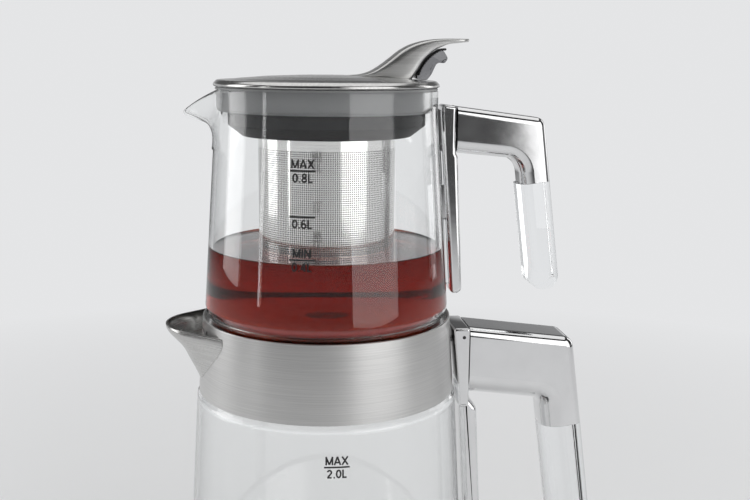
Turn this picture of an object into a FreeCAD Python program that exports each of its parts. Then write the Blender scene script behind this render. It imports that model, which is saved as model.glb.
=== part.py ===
"""Two-stage tea maker: a glass teapot standing in the steel collar of a glass kettle on its power base.

Frame: millimetres, +Z up, origin on the resting plane under the kettle's axis.
The handles point along +X, the spouts along -X, and the control panel faces -Y.
"""
import FreeCAD
import Part
import math
import os
import Sketcher

Vector = FreeCAD.Vector
doc = FreeCAD.newDocument("TeaMaker")
sheet = doc.addObject("Spreadsheet::Sheet", "Sizes")
nodes = {}


class Size:
    """A length or angle that carries its number and the sheet formula that gives it."""

    def __init__(self, value, formula):
        self.value = float(value)
        self.formula = formula

    def join(self, other, sign, result, swapped=False):
        """Writes one arithmetic step as a new size."""
        texts = [self.formula, as_size(other).formula]
        if swapped:
            texts.reverse()
        return Size(result, "({} {} {})".format(texts[0], sign, texts[1]))

    def __add__(self, other):
        return self.join(other, "+", self.value + number(other))

    def __radd__(self, other):
        return self.join(other, "+", number(other) + self.value, True)

    def __sub__(self, other):
        return self.join(other, "-", self.value - number(other))

    def __rsub__(self, other):
        return self.join(other, "-", number(other) - self.value, True)

    def __mul__(self, other):
        return self.join(other, "*", self.value * number(other))

    def __rmul__(self, other):
        return self.join(other, "*", number(other) * self.value, True)

    def __truediv__(self, other):
        return self.join(other, "/", self.value / number(other))

    def __rtruediv__(self, other):
        return self.join(other, "/", number(other) / self.value, True)

    def __neg__(self):
        return self.join(-1, "*", -self.value)


def number(item):
    """The plain number of a size or a number."""
    return item.value if isinstance(item, Size) else float(item)


def as_size(item):
    """A size made from a number, or the size itself."""
    return item if isinstance(item, Size) else Size(item, "({:.6f})".format(float(item)))


def sine(angle):
    return Size(math.sin(math.radians(angle.value)), "sin({})".format(angle.formula))


def cosine(angle):
    return Size(math.cos(math.radians(angle.value)), "cos({})".format(angle.formula))


def tangent(angle):
    return Size(math.tan(math.radians(angle.value)), "tan({})".format(angle.formula))


def driving(values):
    """Puts driving dimensions into the sheet, one row each, and returns them as sizes under the same names."""
    found = {}
    for row, (alias, value) in enumerate(values.items(), 1):
        sheet.set("A{}".format(row), alias)
        sheet.set("B{}".format(row), str(value))
        sheet.setAlias("B{}".format(row), alias)
        found[alias] = Size(value, "Sizes." + alias)
    return found


def plane_of(body, role):
    """The origin plane of a body, such as XZ_Plane."""
    return next(f for f in body.Origin.OriginFeatures if f.Role == role)


def new_body(label):
    """A body for one sub-part, listed under its label."""
    body = doc.addObject("PartDesign::Body", label + "_body")
    body.Label = label
    nodes[label] = body
    return body


def new_sketch(body, plane, offset=None):
    """An empty sketch on one of the body's planes, shifted along the plane's normal."""
    sketch = body.newObject("Sketcher::SketchObject", "Sketch")
    sketch.AttachmentSupport = [(plane_of(body, plane), "")]
    sketch.MapMode = "FlatFace"
    if offset is not None:
        sketch.AttachmentOffset = FreeCAD.Placement(Vector(0, 0, number(offset)), FreeCAD.Rotation())
        sketch.setExpression("AttachmentOffset.Base.z", as_size(offset).formula)
    return sketch


def pin_point(sketch, geometry, end, across, up):
    """Ties a sketch point to its two sizes, counted from the sketch's origin."""
    for kind, axis, item in (("DistanceX", -2, across), ("DistanceY", -1, up)):
        if isinstance(item, Size):
            index = sketch.addConstraint(Sketcher.Constraint(kind, -1, 1, geometry, end, item.value))
            sketch.setExpression("Constraints[{}]".format(index), item.formula)
        elif item == 0:
            sketch.addConstraint(Sketcher.Constraint("PointOnObject", geometry, end, axis))
        else:
            sketch.addConstraint(Sketcher.Constraint(kind, -1, 1, geometry, end, float(item)))


def corner_arc(before, corner, after, radius):
    """Start and end of the round at a corner, its centre, and whether it turns left."""
    back = (before - corner).normalize()
    ahead = (after - corner).normalize()
    half = back.getAngle(ahead) / 2
    reach = radius / math.tan(half)
    middle = (back + ahead).normalize() * (radius / math.sin(half))
    turns_left = back.cross(ahead).z < 0
    return corner + back * reach, corner + ahead * reach, corner + middle, turns_left


def outline(body, plane, corners, offset=None):
    """A closed sketch of straight edges; a corner with a third entry is rounded to that radius."""
    sketch = new_sketch(body, plane, offset)
    spots = [Vector(number(c[0]), number(c[1]), 0) for c in corners]
    count = len(corners)
    rounds = []
    starts = []
    ends = []
    for i in range(count):
        if len(corners[i]) > 2:
            arc = corner_arc(spots[i - 1], spots[i], spots[(i + 1) % count], number(corners[i][2]))
        else:
            arc = None
        rounds.append(arc)
        starts.append(arc[1] if arc else spots[i])
        ends.append(arc[0] if arc else spots[i])
    for i in range(count):
        sketch.addGeometry(Part.LineSegment(starts[i], ends[(i + 1) % count]), False)
    for i in range(count):
        before = (i - 1) % count
        if rounds[i] is None:
            sketch.addConstraint(Sketcher.Constraint("Coincident", before, 2, i, 1))
            pin_point(sketch, i, 1, corners[i][0], corners[i][1])
            continue
        first, last, centre, turns_left = rounds[i]
        radius = corners[i][2]
        if not turns_left:
            first, last = last, first
        angles = [math.atan2(p.y - centre.y, p.x - centre.x) for p in (first, last)]
        circle = Part.Circle(centre, Vector(0, 0, 1), number(radius))
        arc = sketch.addGeometry(Part.ArcOfCircle(circle, angles[0], angles[1]), False)
        spot = sketch.addGeometry(Part.Point(spots[i]), True)
        pin_point(sketch, spot, 1, corners[i][0], corners[i][1])
        sketch.addConstraint(Sketcher.Constraint("PointOnObject", spot, 1, before))
        sketch.addConstraint(Sketcher.Constraint("PointOnObject", spot, 1, i))
        near, far = (1, 2) if turns_left else (2, 1)
        sketch.addConstraint(Sketcher.Constraint("Tangent", before, 2, arc, near))
        sketch.addConstraint(Sketcher.Constraint("Tangent", arc, far, i, 1))
        index = sketch.addConstraint(Sketcher.Constraint("Radius", arc, number(radius)))
        sketch.setExpression("Constraints[{}]".format(index), as_size(radius).formula)
    return sketch


def circles(body, plane, rings, offset=None):
    """A sketch of whole circles, each given as centre across, centre up and radius."""
    sketch = new_sketch(body, plane, offset)
    for across, up, radius in rings:
        spot = Vector(number(across), number(up), 0)
        index = sketch.addGeometry(Part.Circle(spot, Vector(0, 0, 1), number(radius)), False)
        pin_point(sketch, index, 3, across, up)
        rule = sketch.addConstraint(Sketcher.Constraint("Radius", index, number(radius)))
        sketch.setExpression("Constraints[{}]".format(rule), as_size(radius).formula)
    return sketch


def bind(item, **sizes):
    """Binds properties of an object to sizes."""
    for name, size in sizes.items():
        item.setExpression(name, as_size(size).formula)


def feature(body, kind, sketch, **settings):
    """A sketch-based feature of a body; the newest one is the body's tip."""
    made = body.newObject("PartDesign::" + kind, kind)
    made.Profile = sketch
    for name, value in settings.items():
        if isinstance(value, Size):
            made.setExpression(name, value.formula)
        else:
            setattr(made, name, value)
    body.Tip = made
    return made


def turn(body, corners, kind="Revolution"):
    """Revolves an outline, drawn as radius and height, round the vertical axis."""
    sketch = outline(body, "XZ_Plane", corners)
    return feature(body, kind, sketch, ReferenceAxis=(sketch, ["V_Axis"]), Angle=360.0)


def turned(label, corners):
    """A sub-part that is one revolved outline."""
    body = new_body(label)
    turn(body, corners)
    return body


def raise_up(body, sketch, height, kind="Pad"):
    """Pads or pockets a level sketch upwards by a height."""
    made = feature(body, kind, sketch, Length=as_size(height))
    if kind == "Pocket":
        made.Reversed = True
    return made


def across(body, sketch, width, kind="Pad"):
    """Pads or pockets a sketch to both sides of its own plane."""
    return feature(body, kind, sketch, Length=as_size(width), SideType="Symmetric")


def round_edges(body, radius, chosen):
    """Rounds the edges of the body's tip that the test picks."""
    doc.recompute()
    base = body.Tip
    names = ["Edge{}".format(i + 1) for i, edge in enumerate(base.Shape.Edges) if chosen(edge)]
    if not names:
        raise RuntimeError("no edge to round on " + body.Label)
    made = body.newObject("PartDesign::Fillet", "Fillet")
    made.Base = (base, names)
    made.setExpression("Radius", as_size(radius).formula)
    body.Tip = made
    return made


def middle_of(edge):
    """The point halfway along an edge."""
    return edge.valueAt((edge.FirstParameter + edge.LastParameter) / 2)


def place(item, x=0, y=0, z=0):
    """Puts an object's placement at three sizes."""
    item.Placement.Base = Vector(number(x), number(y), number(z))
    for axis, size in (("x", x), ("y", y), ("z", z)):
        if isinstance(size, Size):
            item.setExpression("Placement.Base." + axis, size.formula)


def rod(radius, length, x=0, y=0, z=0, along="z"):
    """A round bar that starts at a point and runs along +X, +Y or +Z."""
    made = doc.addObject("Part::Cylinder", "Rod")
    bind(made, Radius=radius, Height=length)
    turns = {"z": FreeCAD.Rotation(), "x": FreeCAD.Rotation(Vector(0, 1, 0), 90),
             "y": FreeCAD.Rotation(Vector(1, 0, 0), -90)}
    made.Placement.Rotation = turns[along]
    place(made, x, y, z)
    return made


def block(length, width, height, x, y, z):
    """A box centred in plan on a point, with its foot at a height."""
    made = doc.addObject("Part::Box", "Block")
    bind(made, Length=length, Width=width, Height=height)
    place(made, x - length / 2, y - width / 2, z)
    return made


def fused(items):
    """One solid made of several shapes."""
    made = doc.addObject("Part::MultiFuse", "Joined")
    made.Shapes = items
    made.Refine = True
    return made


def group(label, items):
    """A sub-part made of separate like solids."""
    made = doc.addObject("Part::Compound", label + "_group")
    made.Links = items
    made.Label = label
    nodes[label] = made
    return made


def named(label, item):
    """Lists a finished shape as a sub-part."""
    item.Label = label
    nodes[label] = item
    return item


# Driving dimensions: power base
foot_height = 2.5
foot_radius = 8.0
foot_circle = 68.0
base_radius = 84.0
base_wall = 2.2
base_split = 7.0
base_top = 20.0
panel_half_width = 44.0
panel_reach = 118.0
panel_corner = 14.0
button_radius = 7.5
button_pitch = 25.0
button_proud = 1.2
button_travel = 0.8
button_inset = 19.0
window_inset = 7.0
front_foot_inset = 16.0
base_screw_inset = 10.0
window_radius = 1.5
board_level = 7.2
socket_radius = 20.0
socket_height = 8.4
slot_depth = 10.0
cord_radius = 3.3
cord_level = 12.4
notch_width = 18.0

# Driving dimensions: kettle
kettle_foot_radius = 78.5
skirt_top_radius = 77.3
skirt_height = 31.7
plate_level = 50.0
sheet_steel = 0.8
kettle_wall = 2.2
glass_foot_radius = 76.1
glass_foot_level = 44.0
glass_shoulder_radius = 67.1
neck_radius = 62.2
neck_drop = 25.0
collar_height = 38.2
collar_top = 238.0
collar_low_radius = 66.1
collar_top_radius = 63.5
seat_drop = 2.0
mouth_radius = 46.0
pour_hole_radius = 1.5
spout_rim_drop = 4.0
spout_reach = 82.3
spout_depth = 34.0
spout_nose = 24.0
element_inset = 34.0
element_tube = 4.0
spreader_inset = 22.0
terminal_length = 10.0
collar_screw_drop = 16.0
skirt_screw_rise = 8.0

# Driving dimensions: kettle handle
big_width = 28.0
big_root = 73.5
big_top_drop = 7.2
big_depth = 36.4
big_reach = 128.8
big_arm_slope = 7.0
big_grip_slope = 8.0
big_neck = 47.0
big_thickness = 20.9
big_grip_length = 88.0
big_outer_round = 4.6
big_inner_round = 11.0
spine_foot_level = 30.0
spine_low_width = 20.0
spine_depth = 8.5
spine_round = 2.6

# Driving dimensions: teapot
pot_bottom_radius = 62.1
pot_waist_level = 8.0
pot_wall = 2.3
pot_neck_radius = 55.5
pot_neck_height = 11.7
pot_height = 115.7
lip_reach = 70.9
lip_drop = 10.8
lip_depth = 24.0
small_width = 20.0
small_root = 65.0
small_top_drop = 7.6
small_depth = 23.4
small_reach = 109.9
small_arm_slope = 7.4
small_under_slope = 5.4
small_grip_slope = 7.5
small_neck = 32.0
small_thickness = 15.0
small_grip_length = 56.0
grip_step = 1.4
small_outer_round = 4.0
small_inner_round = 6.5
small_spine = 6.0
pad_thickness = 1.5
long_pad = 34.0
short_pad = 17.0
short_pad_drop = 36.0
small_spine_foot = 12.0

# Driving dimensions: strainer and lid
basket_radius = 34.4
basket_depth = 71.0
basket_wall = 0.5
ring_radius = 49.3
ring_low_radius = 42.3
ring_height = 12.0
seal_thickness = 1.2
seal_depth = 10.5
lid_radius = 56.2
lid_edge = 2.6
lid_crown = 5.7
lid_sheet = 1.0
crown_round = 60.0
liner_depth = 6.0
lever_width = 20.0
lever_foot = 11.0
lever_tip = 70.3
lever_rise = 18.3

# Named clearances
fit_gap = 0.1
rest_gap = 0.3
slide_gap = 0.6
liner_gap = 2.4
screw_radius = 1.5
screw_head_radius = 3.0
screw_head = 2.0

globals().update(driving({name: item for name, item in globals().items() if isinstance(item, float)}))

# Lengths and levels that follow from them
button_line = panel_reach - button_inset
window_line = panel_reach - window_inset
collar_bottom = collar_top - collar_height
neck_top = collar_top - neck_drop
pot_neck_level = pot_height - pot_neck_height
cover_inside = base_top - base_wall
kettle_foot = base_top + rest_gap
seat_level = collar_top - seat_drop
pot_foot = seat_level
pot_rim = pot_foot + pot_height
collar_slope = (collar_low_radius - collar_top_radius) / (collar_top - collar_bottom)
glass_shoulder_level = collar_bottom - fit_gap * 3
glass_slope = (glass_foot_radius - glass_shoulder_radius) / (glass_shoulder_level - glass_foot_level)
skirt_top = kettle_foot + skirt_height


# Power base: tray, cover, socket and contacts
def panel_plan(body, inset, level):
    """The control panel's outline in plan, drawn smaller by an inset."""
    half = panel_half_width - inset
    front = -(panel_reach - inset)
    return outline(body, "XY_Plane", [(-half, -base_radius / 2), (-half, front, panel_corner - inset),
                                      (half, front, panel_corner - inset), (half, -base_radius / 2)], level)


def base_solid(body, kind, inset, bottom, height):
    """Adds or cuts the round base and its panel between two levels."""
    raise_up(body, circles(body, "XY_Plane", [(0, 0, base_radius - inset)], bottom), height, kind)
    raise_up(body, panel_plan(body, inset, bottom), height, kind)


def ring_spots(count, radius, first=0.0):
    """Points spread evenly on a circle, as sizes across and up."""
    angles = [math.radians(first + 360.0 * i / count) for i in range(count)]
    return [(radius * math.cos(a), radius * math.sin(a)) for a in angles]


def make_power_base():
    """The tray, cover and everything that they carry."""
    screw_spots = ring_spots(4, base_radius - base_screw_inset, 45.0)
    foot_spots = ring_spots(4, foot_circle, 0.0) + [(0 * foot_circle, -(panel_reach - front_foot_inset))]
    foot_spots.append((0 * foot_circle, 0 * foot_circle))
    post_spots = [(side * panel_half_width * 0.7, -button_line) for side in (-1, 1)]
    button_spots = [(button_pitch * side, -button_line) for side in (-1, 0, 1)]
    window_spots = [(button_pitch * side, -window_line) for side in (-1, 0, 1)]

    tray = new_body("base_tray")
    base_solid(tray, "Pad", base_wall * 0.5, foot_height, base_split - foot_height)
    floor_top = foot_height + base_wall
    base_solid(tray, "Pocket", base_wall * 1.5, floor_top, base_split)
    raise_up(tray, circles(tray, "XY_Plane", [(x, y, 3.4) for x, y in post_spots], floor_top),
             board_level - floor_top)
    raise_up(tray, circles(tray, "XY_Plane", [(x, y, 4.2) for x, y in screw_spots], floor_top),
             base_split + 1 - floor_top)
    raise_up(tray, circles(tray, "XY_Plane", [(x, y, screw_radius + fit_gap) for x, y in screw_spots],
                           foot_height), base_top, "Pocket")
    raise_up(tray, circles(tray, "XY_Plane", [(x, y, screw_head_radius + rest_gap) for x, y in screw_spots],
                           foot_height), screw_head, "Pocket")

    cover = new_body("base_cover")
    base_solid(cover, "Pad", 0, base_split, base_top - base_split)
    round_edges(cover, 2.0, lambda e: abs(middle_of(e).z - base_top.value) < 0.01)
    base_solid(cover, "Pocket", base_wall, base_split, cover_inside - base_split)
    raise_up(cover, circles(cover, "XY_Plane", [(x, y, 4.2) for x, y in screw_spots],
                            base_split + 1 + fit_gap), cover_inside - base_split - 1 - fit_gap)
    raise_up(cover, circles(cover, "XY_Plane", [(x, y, screw_radius + fit_gap) for x, y in screw_spots],
                            base_split), 9, "Pocket")
    holes = [(0, 0, socket_radius + slide_gap)]
    holes += [(x, y, button_radius + rest_gap) for x, y in button_spots]
    holes += [(x, y, window_radius + fit_gap) for x, y in window_spots]
    raise_up(cover, circles(cover, "XY_Plane", holes, base_split), base_top, "Pocket")
    raise_up(cover, circles(cover, "XY_Plane", [(0, 0, socket_radius + 7)], base_top - 1), 3, "Pocket")
    half = notch_width / 2
    notch = outline(cover, "XZ_Plane", [(-half, base_split - 1), (-half, cover_inside), (half, cover_inside),
                                        (half, base_split - 1)], -base_radius * 0.8)
    feature(cover, "Pocket", notch, Length=base_radius)

    boss_top = base_top + socket_height
    slots = [(0, 3.0), (8.2, 10.4), (13.2, 15.4)]
    socket = turned("base_socket", [
        (0, base_top - 12), (socket_radius, base_top - 12), (socket_radius, cover_inside - 2.4 - fit_gap),
        (socket_radius + 2, cover_inside - 2.4 - fit_gap), (socket_radius + 2, cover_inside - fit_gap),
        (socket_radius, cover_inside - fit_gap), (socket_radius, boss_top, 1.0), (0, boss_top)])
    slot_floor = boss_top - slot_depth
    turn(socket, [(0, slot_floor - 1.5), (slots[0][1], slot_floor - 1.5), (slots[0][1], boss_top + 1),
                  (0, boss_top + 1)], "Groove")
    for low, high in slots[1:]:
        turn(socket, [(low, slot_floor), (high, slot_floor), (high, boss_top + 1), (low, boss_top + 1)],
             "Groove")
    contacts = []
    for index, (low, high) in enumerate(slots):
        foot = slot_floor - (1.5 if index == 0 else 0)
        disc = rod(as_size(high - 0.1), as_size(0.8), z=foot)
        if low:
            hole = rod(as_size(low + 0.1), as_size(2), z=foot - 0.5)
            ring = doc.addObject("Part::Cut", "Contact")
            ring.Base = disc
            ring.Tool = hole
            disc = ring
        contacts.append(disc)
    group("socket_contacts", contacts)
    washer_foot = base_top - 1 + fit_gap
    washer_top = washer_foot + 0.8
    turned("socket_ring", [(socket_radius + 0.3, washer_foot), (socket_radius + 6.5, washer_foot),
                           (socket_radius + 6.5, washer_top, 0.3), (socket_radius + 0.3, washer_top)])

    board = new_body("circuit_board")
    board_half = panel_half_width - base_wall - 3
    back = -(button_line - 12)
    front = -(panel_reach - base_wall * 2 - 1.5)
    plan = outline(board, "XY_Plane", [(-board_half, back), (-board_half, front, 10), (board_half, front, 10),
                                       (board_half, back)], board_level)
    raise_up(board, plan, 1.6)
    board_top = board_level + 1.6
    switches = []
    for x, y in button_spots:
        stub = rod(as_size(1.7), as_size(0.9), x, y, board_top + 3.3)
        switches.append(fused([block(as_size(6), as_size(6), as_size(3.4), x, y, board_top), stub]))
    group("key_switches", switches)
    parts = [block(as_size(12), as_size(9), as_size(5.5), button_pitch * 0.5 * side, back - 5, board_top)
             for side in (-1, 1)]
    parts += [block(as_size(2), as_size(1.2), as_size(0.7), x, y, board_top) for x, y in window_spots]
    group("board_parts", parts)
    group("indicator_windows", [rod(window_radius, base_top + 0.2 - board_top - 1, x, y, board_top + 1)
                                for x, y in window_spots])
    stem_foot = board_top + 4.2 + rest_gap + button_travel
    for name, (x, y) in zip(("button_boil", "button_brew", "button_warm"), button_spots):
        button = new_body(name)
        raise_up(button, circles(button, "XY_Plane", [(x, y, button_radius)], cover_inside - 2),
                 base_top + button_proud - cover_inside + 2)
        round_edges(button, 0.8, lambda e: middle_of(e).z > base_top.value)
        flange = circles(button, "XY_Plane", [(x, y, button_radius + 1.2)], cover_inside - 1.8 - rest_gap)
        raise_up(button, flange, 1.8)
        raise_up(button, circles(button, "XY_Plane", [(x, y, 2.5)], stem_foot), cover_inside - 1 - stem_foot)
    group("base_feet", [rod(foot_radius, foot_height, x, y) for x, y in foot_spots])
    screws = []
    for x, y in screw_spots:
        head = rod(screw_head_radius, screw_head - fit_gap, x, y, foot_height + 0.05)
        screws.append(fused([head, rod(screw_radius, base_split + 6 - foot_height, x, y, foot_height + 1)]))
    group("base_screws", screws)

    plate_height = cover_inside - base_split - fit_gap
    wall_ring = doc.addObject("Part::Cut", "WallRing")
    wall_ring.Base = rod(base_radius, plate_height, z=base_split)
    wall_ring.Tool = rod(base_radius - base_wall, plate_height, z=base_split)
    patch = doc.addObject("Part::Common", "WallPatch")
    patch.Base = wall_ring
    middle = 0 * base_wall
    patch.Tool = block(notch_width - fit_gap * 2, base_wall * 4, plate_height, middle, base_radius, base_split)
    plate = doc.addObject("Part::Cut", "CordPlate")
    plate.Base = patch
    plate.Tool = rod(cord_radius + 1.2, base_wall * 4, middle, base_radius - base_wall * 2, cord_level, "y")
    named("cord_plate", plate)
    gland_back = base_radius - base_wall - 2.5
    sleeve = rod(cord_radius + 1.1, 12 + base_wall, middle, gland_back, cord_level, "y")
    inner_flange = rod(cord_radius + 1.9, as_size(2), middle, gland_back, cord_level, "y")
    outer_flange = rod(cord_radius + 1.9, as_size(2), middle, base_radius + 0.2, cord_level, "y")
    bore = rod(cord_radius, as_size(30), middle, gland_back - 5, cord_level, "y")
    gland = doc.addObject("Part::Cut", "Gland")
    gland.Base = fused([sleeve, inner_flange, outer_flange])
    gland.Tool = bore
    named("cord_gland", gland)


# Kettle: base, heating parts, glass, collar and spout
def make_kettle_base():
    """The steel skirt, bottom cover, connector, plate, element, sensor and lower seal."""
    thick = sheet_steel
    turned("kettle_skirt", [(kettle_foot_radius - thick, kettle_foot), (kettle_foot_radius, kettle_foot),
                            (skirt_top_radius, skirt_top, 0.3), (skirt_top_radius - thick, skirt_top)])
    skirt = nodes["kettle_skirt"]
    screw_level = spine_foot_level + skirt_screw_rise
    hole = circles(skirt, "YZ_Plane", [(0, screw_level, screw_radius + 0.6)], skirt_top_radius * 0.8)
    feature(skirt, "Pocket", hole, Length=skirt_top_radius, Reversed=True)

    spots = ring_spots(3, glass_foot_radius - 12, 90.0)
    bottom = turned("kettle_bottom", [
        (socket_radius + 6.5, kettle_foot), (kettle_foot_radius - thick - 0.3, kettle_foot),
        (kettle_foot_radius - thick - 0.5, kettle_foot + 5),
        (kettle_foot_radius - thick - 2.5, kettle_foot + 5),
        (kettle_foot_radius - thick - 2.5, kettle_foot + 2.2), (socket_radius + 8.5, kettle_foot + 2.2),
        (socket_radius + 8.5, kettle_foot + 6), (socket_radius + 6.5, kettle_foot + 6)])
    raise_up(bottom, circles(bottom, "XY_Plane", [(x, y, 4.2) for x, y in spots], kettle_foot), 7)
    raise_up(bottom, circles(bottom, "XY_Plane", [(x, y, screw_radius + fit_gap) for x, y in spots],
                             kettle_foot - 1), 10, "Pocket")
    raise_up(bottom, circles(bottom, "XY_Plane", [(x, y, screw_head_radius + rest_gap) for x, y in spots],
                             kettle_foot - 1), screw_head + 1.4, "Pocket")
    screws = []
    for x, y in spots:
        head = rod(screw_head_radius, screw_head, x, y, kettle_foot + 0.35)
        screws.append(fused([head, rod(screw_radius, 18, x, y, kettle_foot + 1)]))
    group("kettle_bottom_screws", screws)

    roof = base_top + socket_height + slide_gap
    washer_top = base_top - 1 + fit_gap + 0.8
    connector = turned("kettle_connector", [
        (0, roof), (socket_radius + slide_gap, roof), (socket_radius + slide_gap, washer_top + rest_gap),
        (socket_radius + 5.9, washer_top + rest_gap), (socket_radius + 5.9, roof + 3.5, 1.0), (0, roof + 3.5)])
    reach = slot_depth - 1.6
    raise_up(connector, circles(connector, "XY_Plane", [(0, 0, 2.2)], roof - reach - 1), reach + 2)
    for low, high in ((8.7, 9.9), (13.7, 14.9)):
        blade = circles(connector, "XY_Plane", [(0, 0, high), (0, 0, low)], roof - reach)
        raise_up(connector, blade, reach + 1)

    plate_radius = glass_foot_radius - kettle_wall - 1.4
    plate_rim = glass_foot_level - 3.5
    plate = turned("heating_plate", [
        (0, plate_level - thick), (plate_radius - thick, plate_level - thick),
        (plate_radius - thick, plate_rim),
        (plate_radius, plate_rim), (plate_radius, plate_level, 2.0), (0, plate_level)])
    stud_foot = kettle_foot + 7 + rest_gap
    raise_up(plate, circles(plate, "XY_Plane", [(x, y, 3.6) for x, y in spots], stud_foot),
             plate_level - thick * 0.5 - stud_foot)
    bores = circles(plate, "XY_Plane", [(x, y, screw_radius + 0.05) for x, y in spots], stud_foot)
    raise_up(plate, bores, 14, "Pocket")
    disc_top = plate_level - thick
    tube_level = disc_top - 6
    tube = doc.addObject("Part::Torus", "Tube")
    bend = glass_foot_radius - element_inset
    bind(tube, Radius1=bend, Radius2=element_tube)
    tube.Angle3 = 320
    place(tube, z=tube_level)
    tube_ends = [(bend * math.cos(a), bend * math.sin(a)) for a in (0.0, math.radians(320))]
    terminals = [rod(as_size(2.2), terminal_length, x, y, tube_level - terminal_length) for x, y in tube_ends]
    spreader = rod(glass_foot_radius - spreader_inset, as_size(2.8), z=disc_top - 2.8)
    named("heating_element", fused([spreader, tube] + terminals))
    sensor_foot = roof + 3.5 + fit_gap * 2
    named("thermostat", fused([rod(as_size(9), as_size(4), z=sensor_foot),
                               rod(as_size(5), disc_top - 2.8 - sensor_foot, z=sensor_foot)]))
    lip_in = plate_radius + 0.15
    lip_out = glass_foot_radius - kettle_wall - 0.15
    seal_out = glass_foot_radius - 0.2
    turned("glass_seal", [(lip_in, glass_foot_level - 2.6), (seal_out, glass_foot_level - 2.6),
                          (seal_out, glass_foot_level - 0.05), (lip_out, glass_foot_level - 0.05),
                          (lip_out - glass_slope * 4, plate_level - 2), (lip_in, plate_level - 2)])


def make_kettle_glass():
    """The conical glass with its neck, and the seal round that neck."""
    wall = kettle_wall
    neck_foot = glass_shoulder_level + 2.4
    turned("kettle_glass", [
        (glass_foot_radius, glass_foot_level), (glass_shoulder_radius, glass_shoulder_level - 2, 2.5),
        (neck_radius, neck_foot, 2.5), (neck_radius, neck_top, 0.8), (neck_radius - wall, neck_top, 0.8),
        (neck_radius - wall, neck_foot - 1, 3.5),
        (glass_shoulder_radius - wall, glass_shoulder_level - 4, 3.0),
        (glass_foot_radius - wall, glass_foot_level)])
    inner = neck_radius + 0.1
    low = neck_foot + 1.5
    drop = (collar_top - low) * collar_slope
    rise = (collar_top - neck_top) * collar_slope
    turned("collar_seal", [
        (inner, low), (collar_top_radius + drop - sheet_steel - 0.1, low),
        (collar_top_radius + rise - sheet_steel - 0.1, neck_top), (inner, neck_top)])


def make_collar():
    """The steel collar with its pour holes, and the ring that the teapot stands on."""
    thick = sheet_steel
    collar = turned("collar", [
        (collar_low_radius - thick, collar_bottom), (collar_low_radius, collar_bottom),
        (collar_top_radius, collar_top, 0.35), (collar_top_radius - thick, collar_top)])
    rows = [(row, lane) for row in (0, 1) for lane in (-3, -2, -1, 0, 1, 2, 3)]
    for row, lane in rows:
        if abs(lane) == 3 and row == 1:
            continue
        hole = circles(collar, "YZ_Plane", [(lane * 6.4, collar_top - 5.8 - row * 6, pour_hole_radius)],
                       -collar_top_radius * 0.6)
        feature(collar, "Pocket", hole, Length=collar_top_radius * 0.6)
    screw_level = collar_top - collar_screw_drop
    screw_hole = circles(collar, "YZ_Plane", [(0, screw_level, screw_radius + 0.6)], collar_top_radius * 0.8)
    feature(collar, "Pocket", screw_hole, Length=collar_top_radius * 0.4, Reversed=True)
    outer = collar_top_radius - thick + collar_slope * seat_drop - fit_gap
    turned("seat_ring", [
        (mouth_radius, seat_level - 5), (mouth_radius + 1, seat_level - 5),
        (mouth_radius + 1, seat_level - 1),
        (outer, seat_level - 1), (outer, seat_level - 0.05), (mouth_radius, seat_level - 0.05, 0.9)])


def spout_sections(body, levels, inset, inner):
    """Level sketches of a pouring scoop: a wedge in plan with a rounded nose."""
    sketches = []
    for level, tip, nose, half_angle in levels:
        angle = as_size(half_angle)
        apex = tip + nose * (1 / sine(angle) - 1) - inset / sine(angle)
        half_width = (apex - inner) * tangent(angle)
        sketches.append(outline(body, "XY_Plane", [(-inner, half_width), (-apex, 0 * apex, nose - inset),
                                                   (-inner, -half_width)], level))
    return sketches


def make_kettle_spout():
    """The sheet-steel scoop on the collar's side."""
    spout = new_body("kettle_spout")
    rim = collar_top - spout_rim_drop
    shares = [(0.0, 0.0, 1.0, 40.0), (0.153, 0.082, 1.17, 41.5), (0.341, 0.247, 1.21, 50.0),
              (0.503, 0.332, 1.27, 55.0), (0.665, 0.418, 1.45, 60.0), (0.82, 0.488, 1.75, 64.0),
              (1.0, 0.571, 1.92, 69.0)]
    levels = [(rim - spout_depth * drop, spout_reach - spout_depth * step, spout_nose * blunt, angle)
              for drop, step, blunt, angle in shares]
    inner = collar_top_radius * 0.79
    outer_shape = spout_sections(spout, levels, as_size(0), inner)
    feature(spout, "AdditiveLoft", outer_shape[0], Sections=outer_shape[1:])
    inner_shape = spout_sections(spout, levels, sheet_steel, inner - 4)
    feature(spout, "SubtractiveLoft", inner_shape[0], Sections=inner_shape[1:])
    reach = collar_top - collar_bottom
    turn(spout, [(0, collar_bottom - 5), (collar_low_radius + collar_slope * 5 + 0.05, collar_bottom - 5),
                 (collar_top_radius - collar_slope * 5 + 0.05, collar_bottom + reach + 5),
                 (0, collar_bottom + reach + 5)], "Groove")


# Handles
def handle_points(root, top, depth, reach, slopes, neck, thickness):
    """Corner points of a handle's arm, seen from the side, and the middle of its cut."""
    arm, under, grip = slopes
    fall = tangent(under)
    corner = (reach, top - (reach - root) * tangent(arm))
    outer = (reach + neck * sine(grip), corner[1] - neck * cosine(grip))
    inner = (outer[0] - thickness * cosine(grip), outer[1] - thickness * sine(grip))
    rise = (top - depth - (inner[0] - root) * fall - inner[1]) / (cosine(grip) - sine(grip) * fall)
    elbow = (inner[0] - rise * sine(grip), inner[1] + rise * cosine(grip))
    middle = ((outer[0] + inner[0]) / 2, (outer[1] + inner[1]) / 2)
    return [(root, top - depth), elbow, inner, outer, corner, (root, top)], middle


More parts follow.
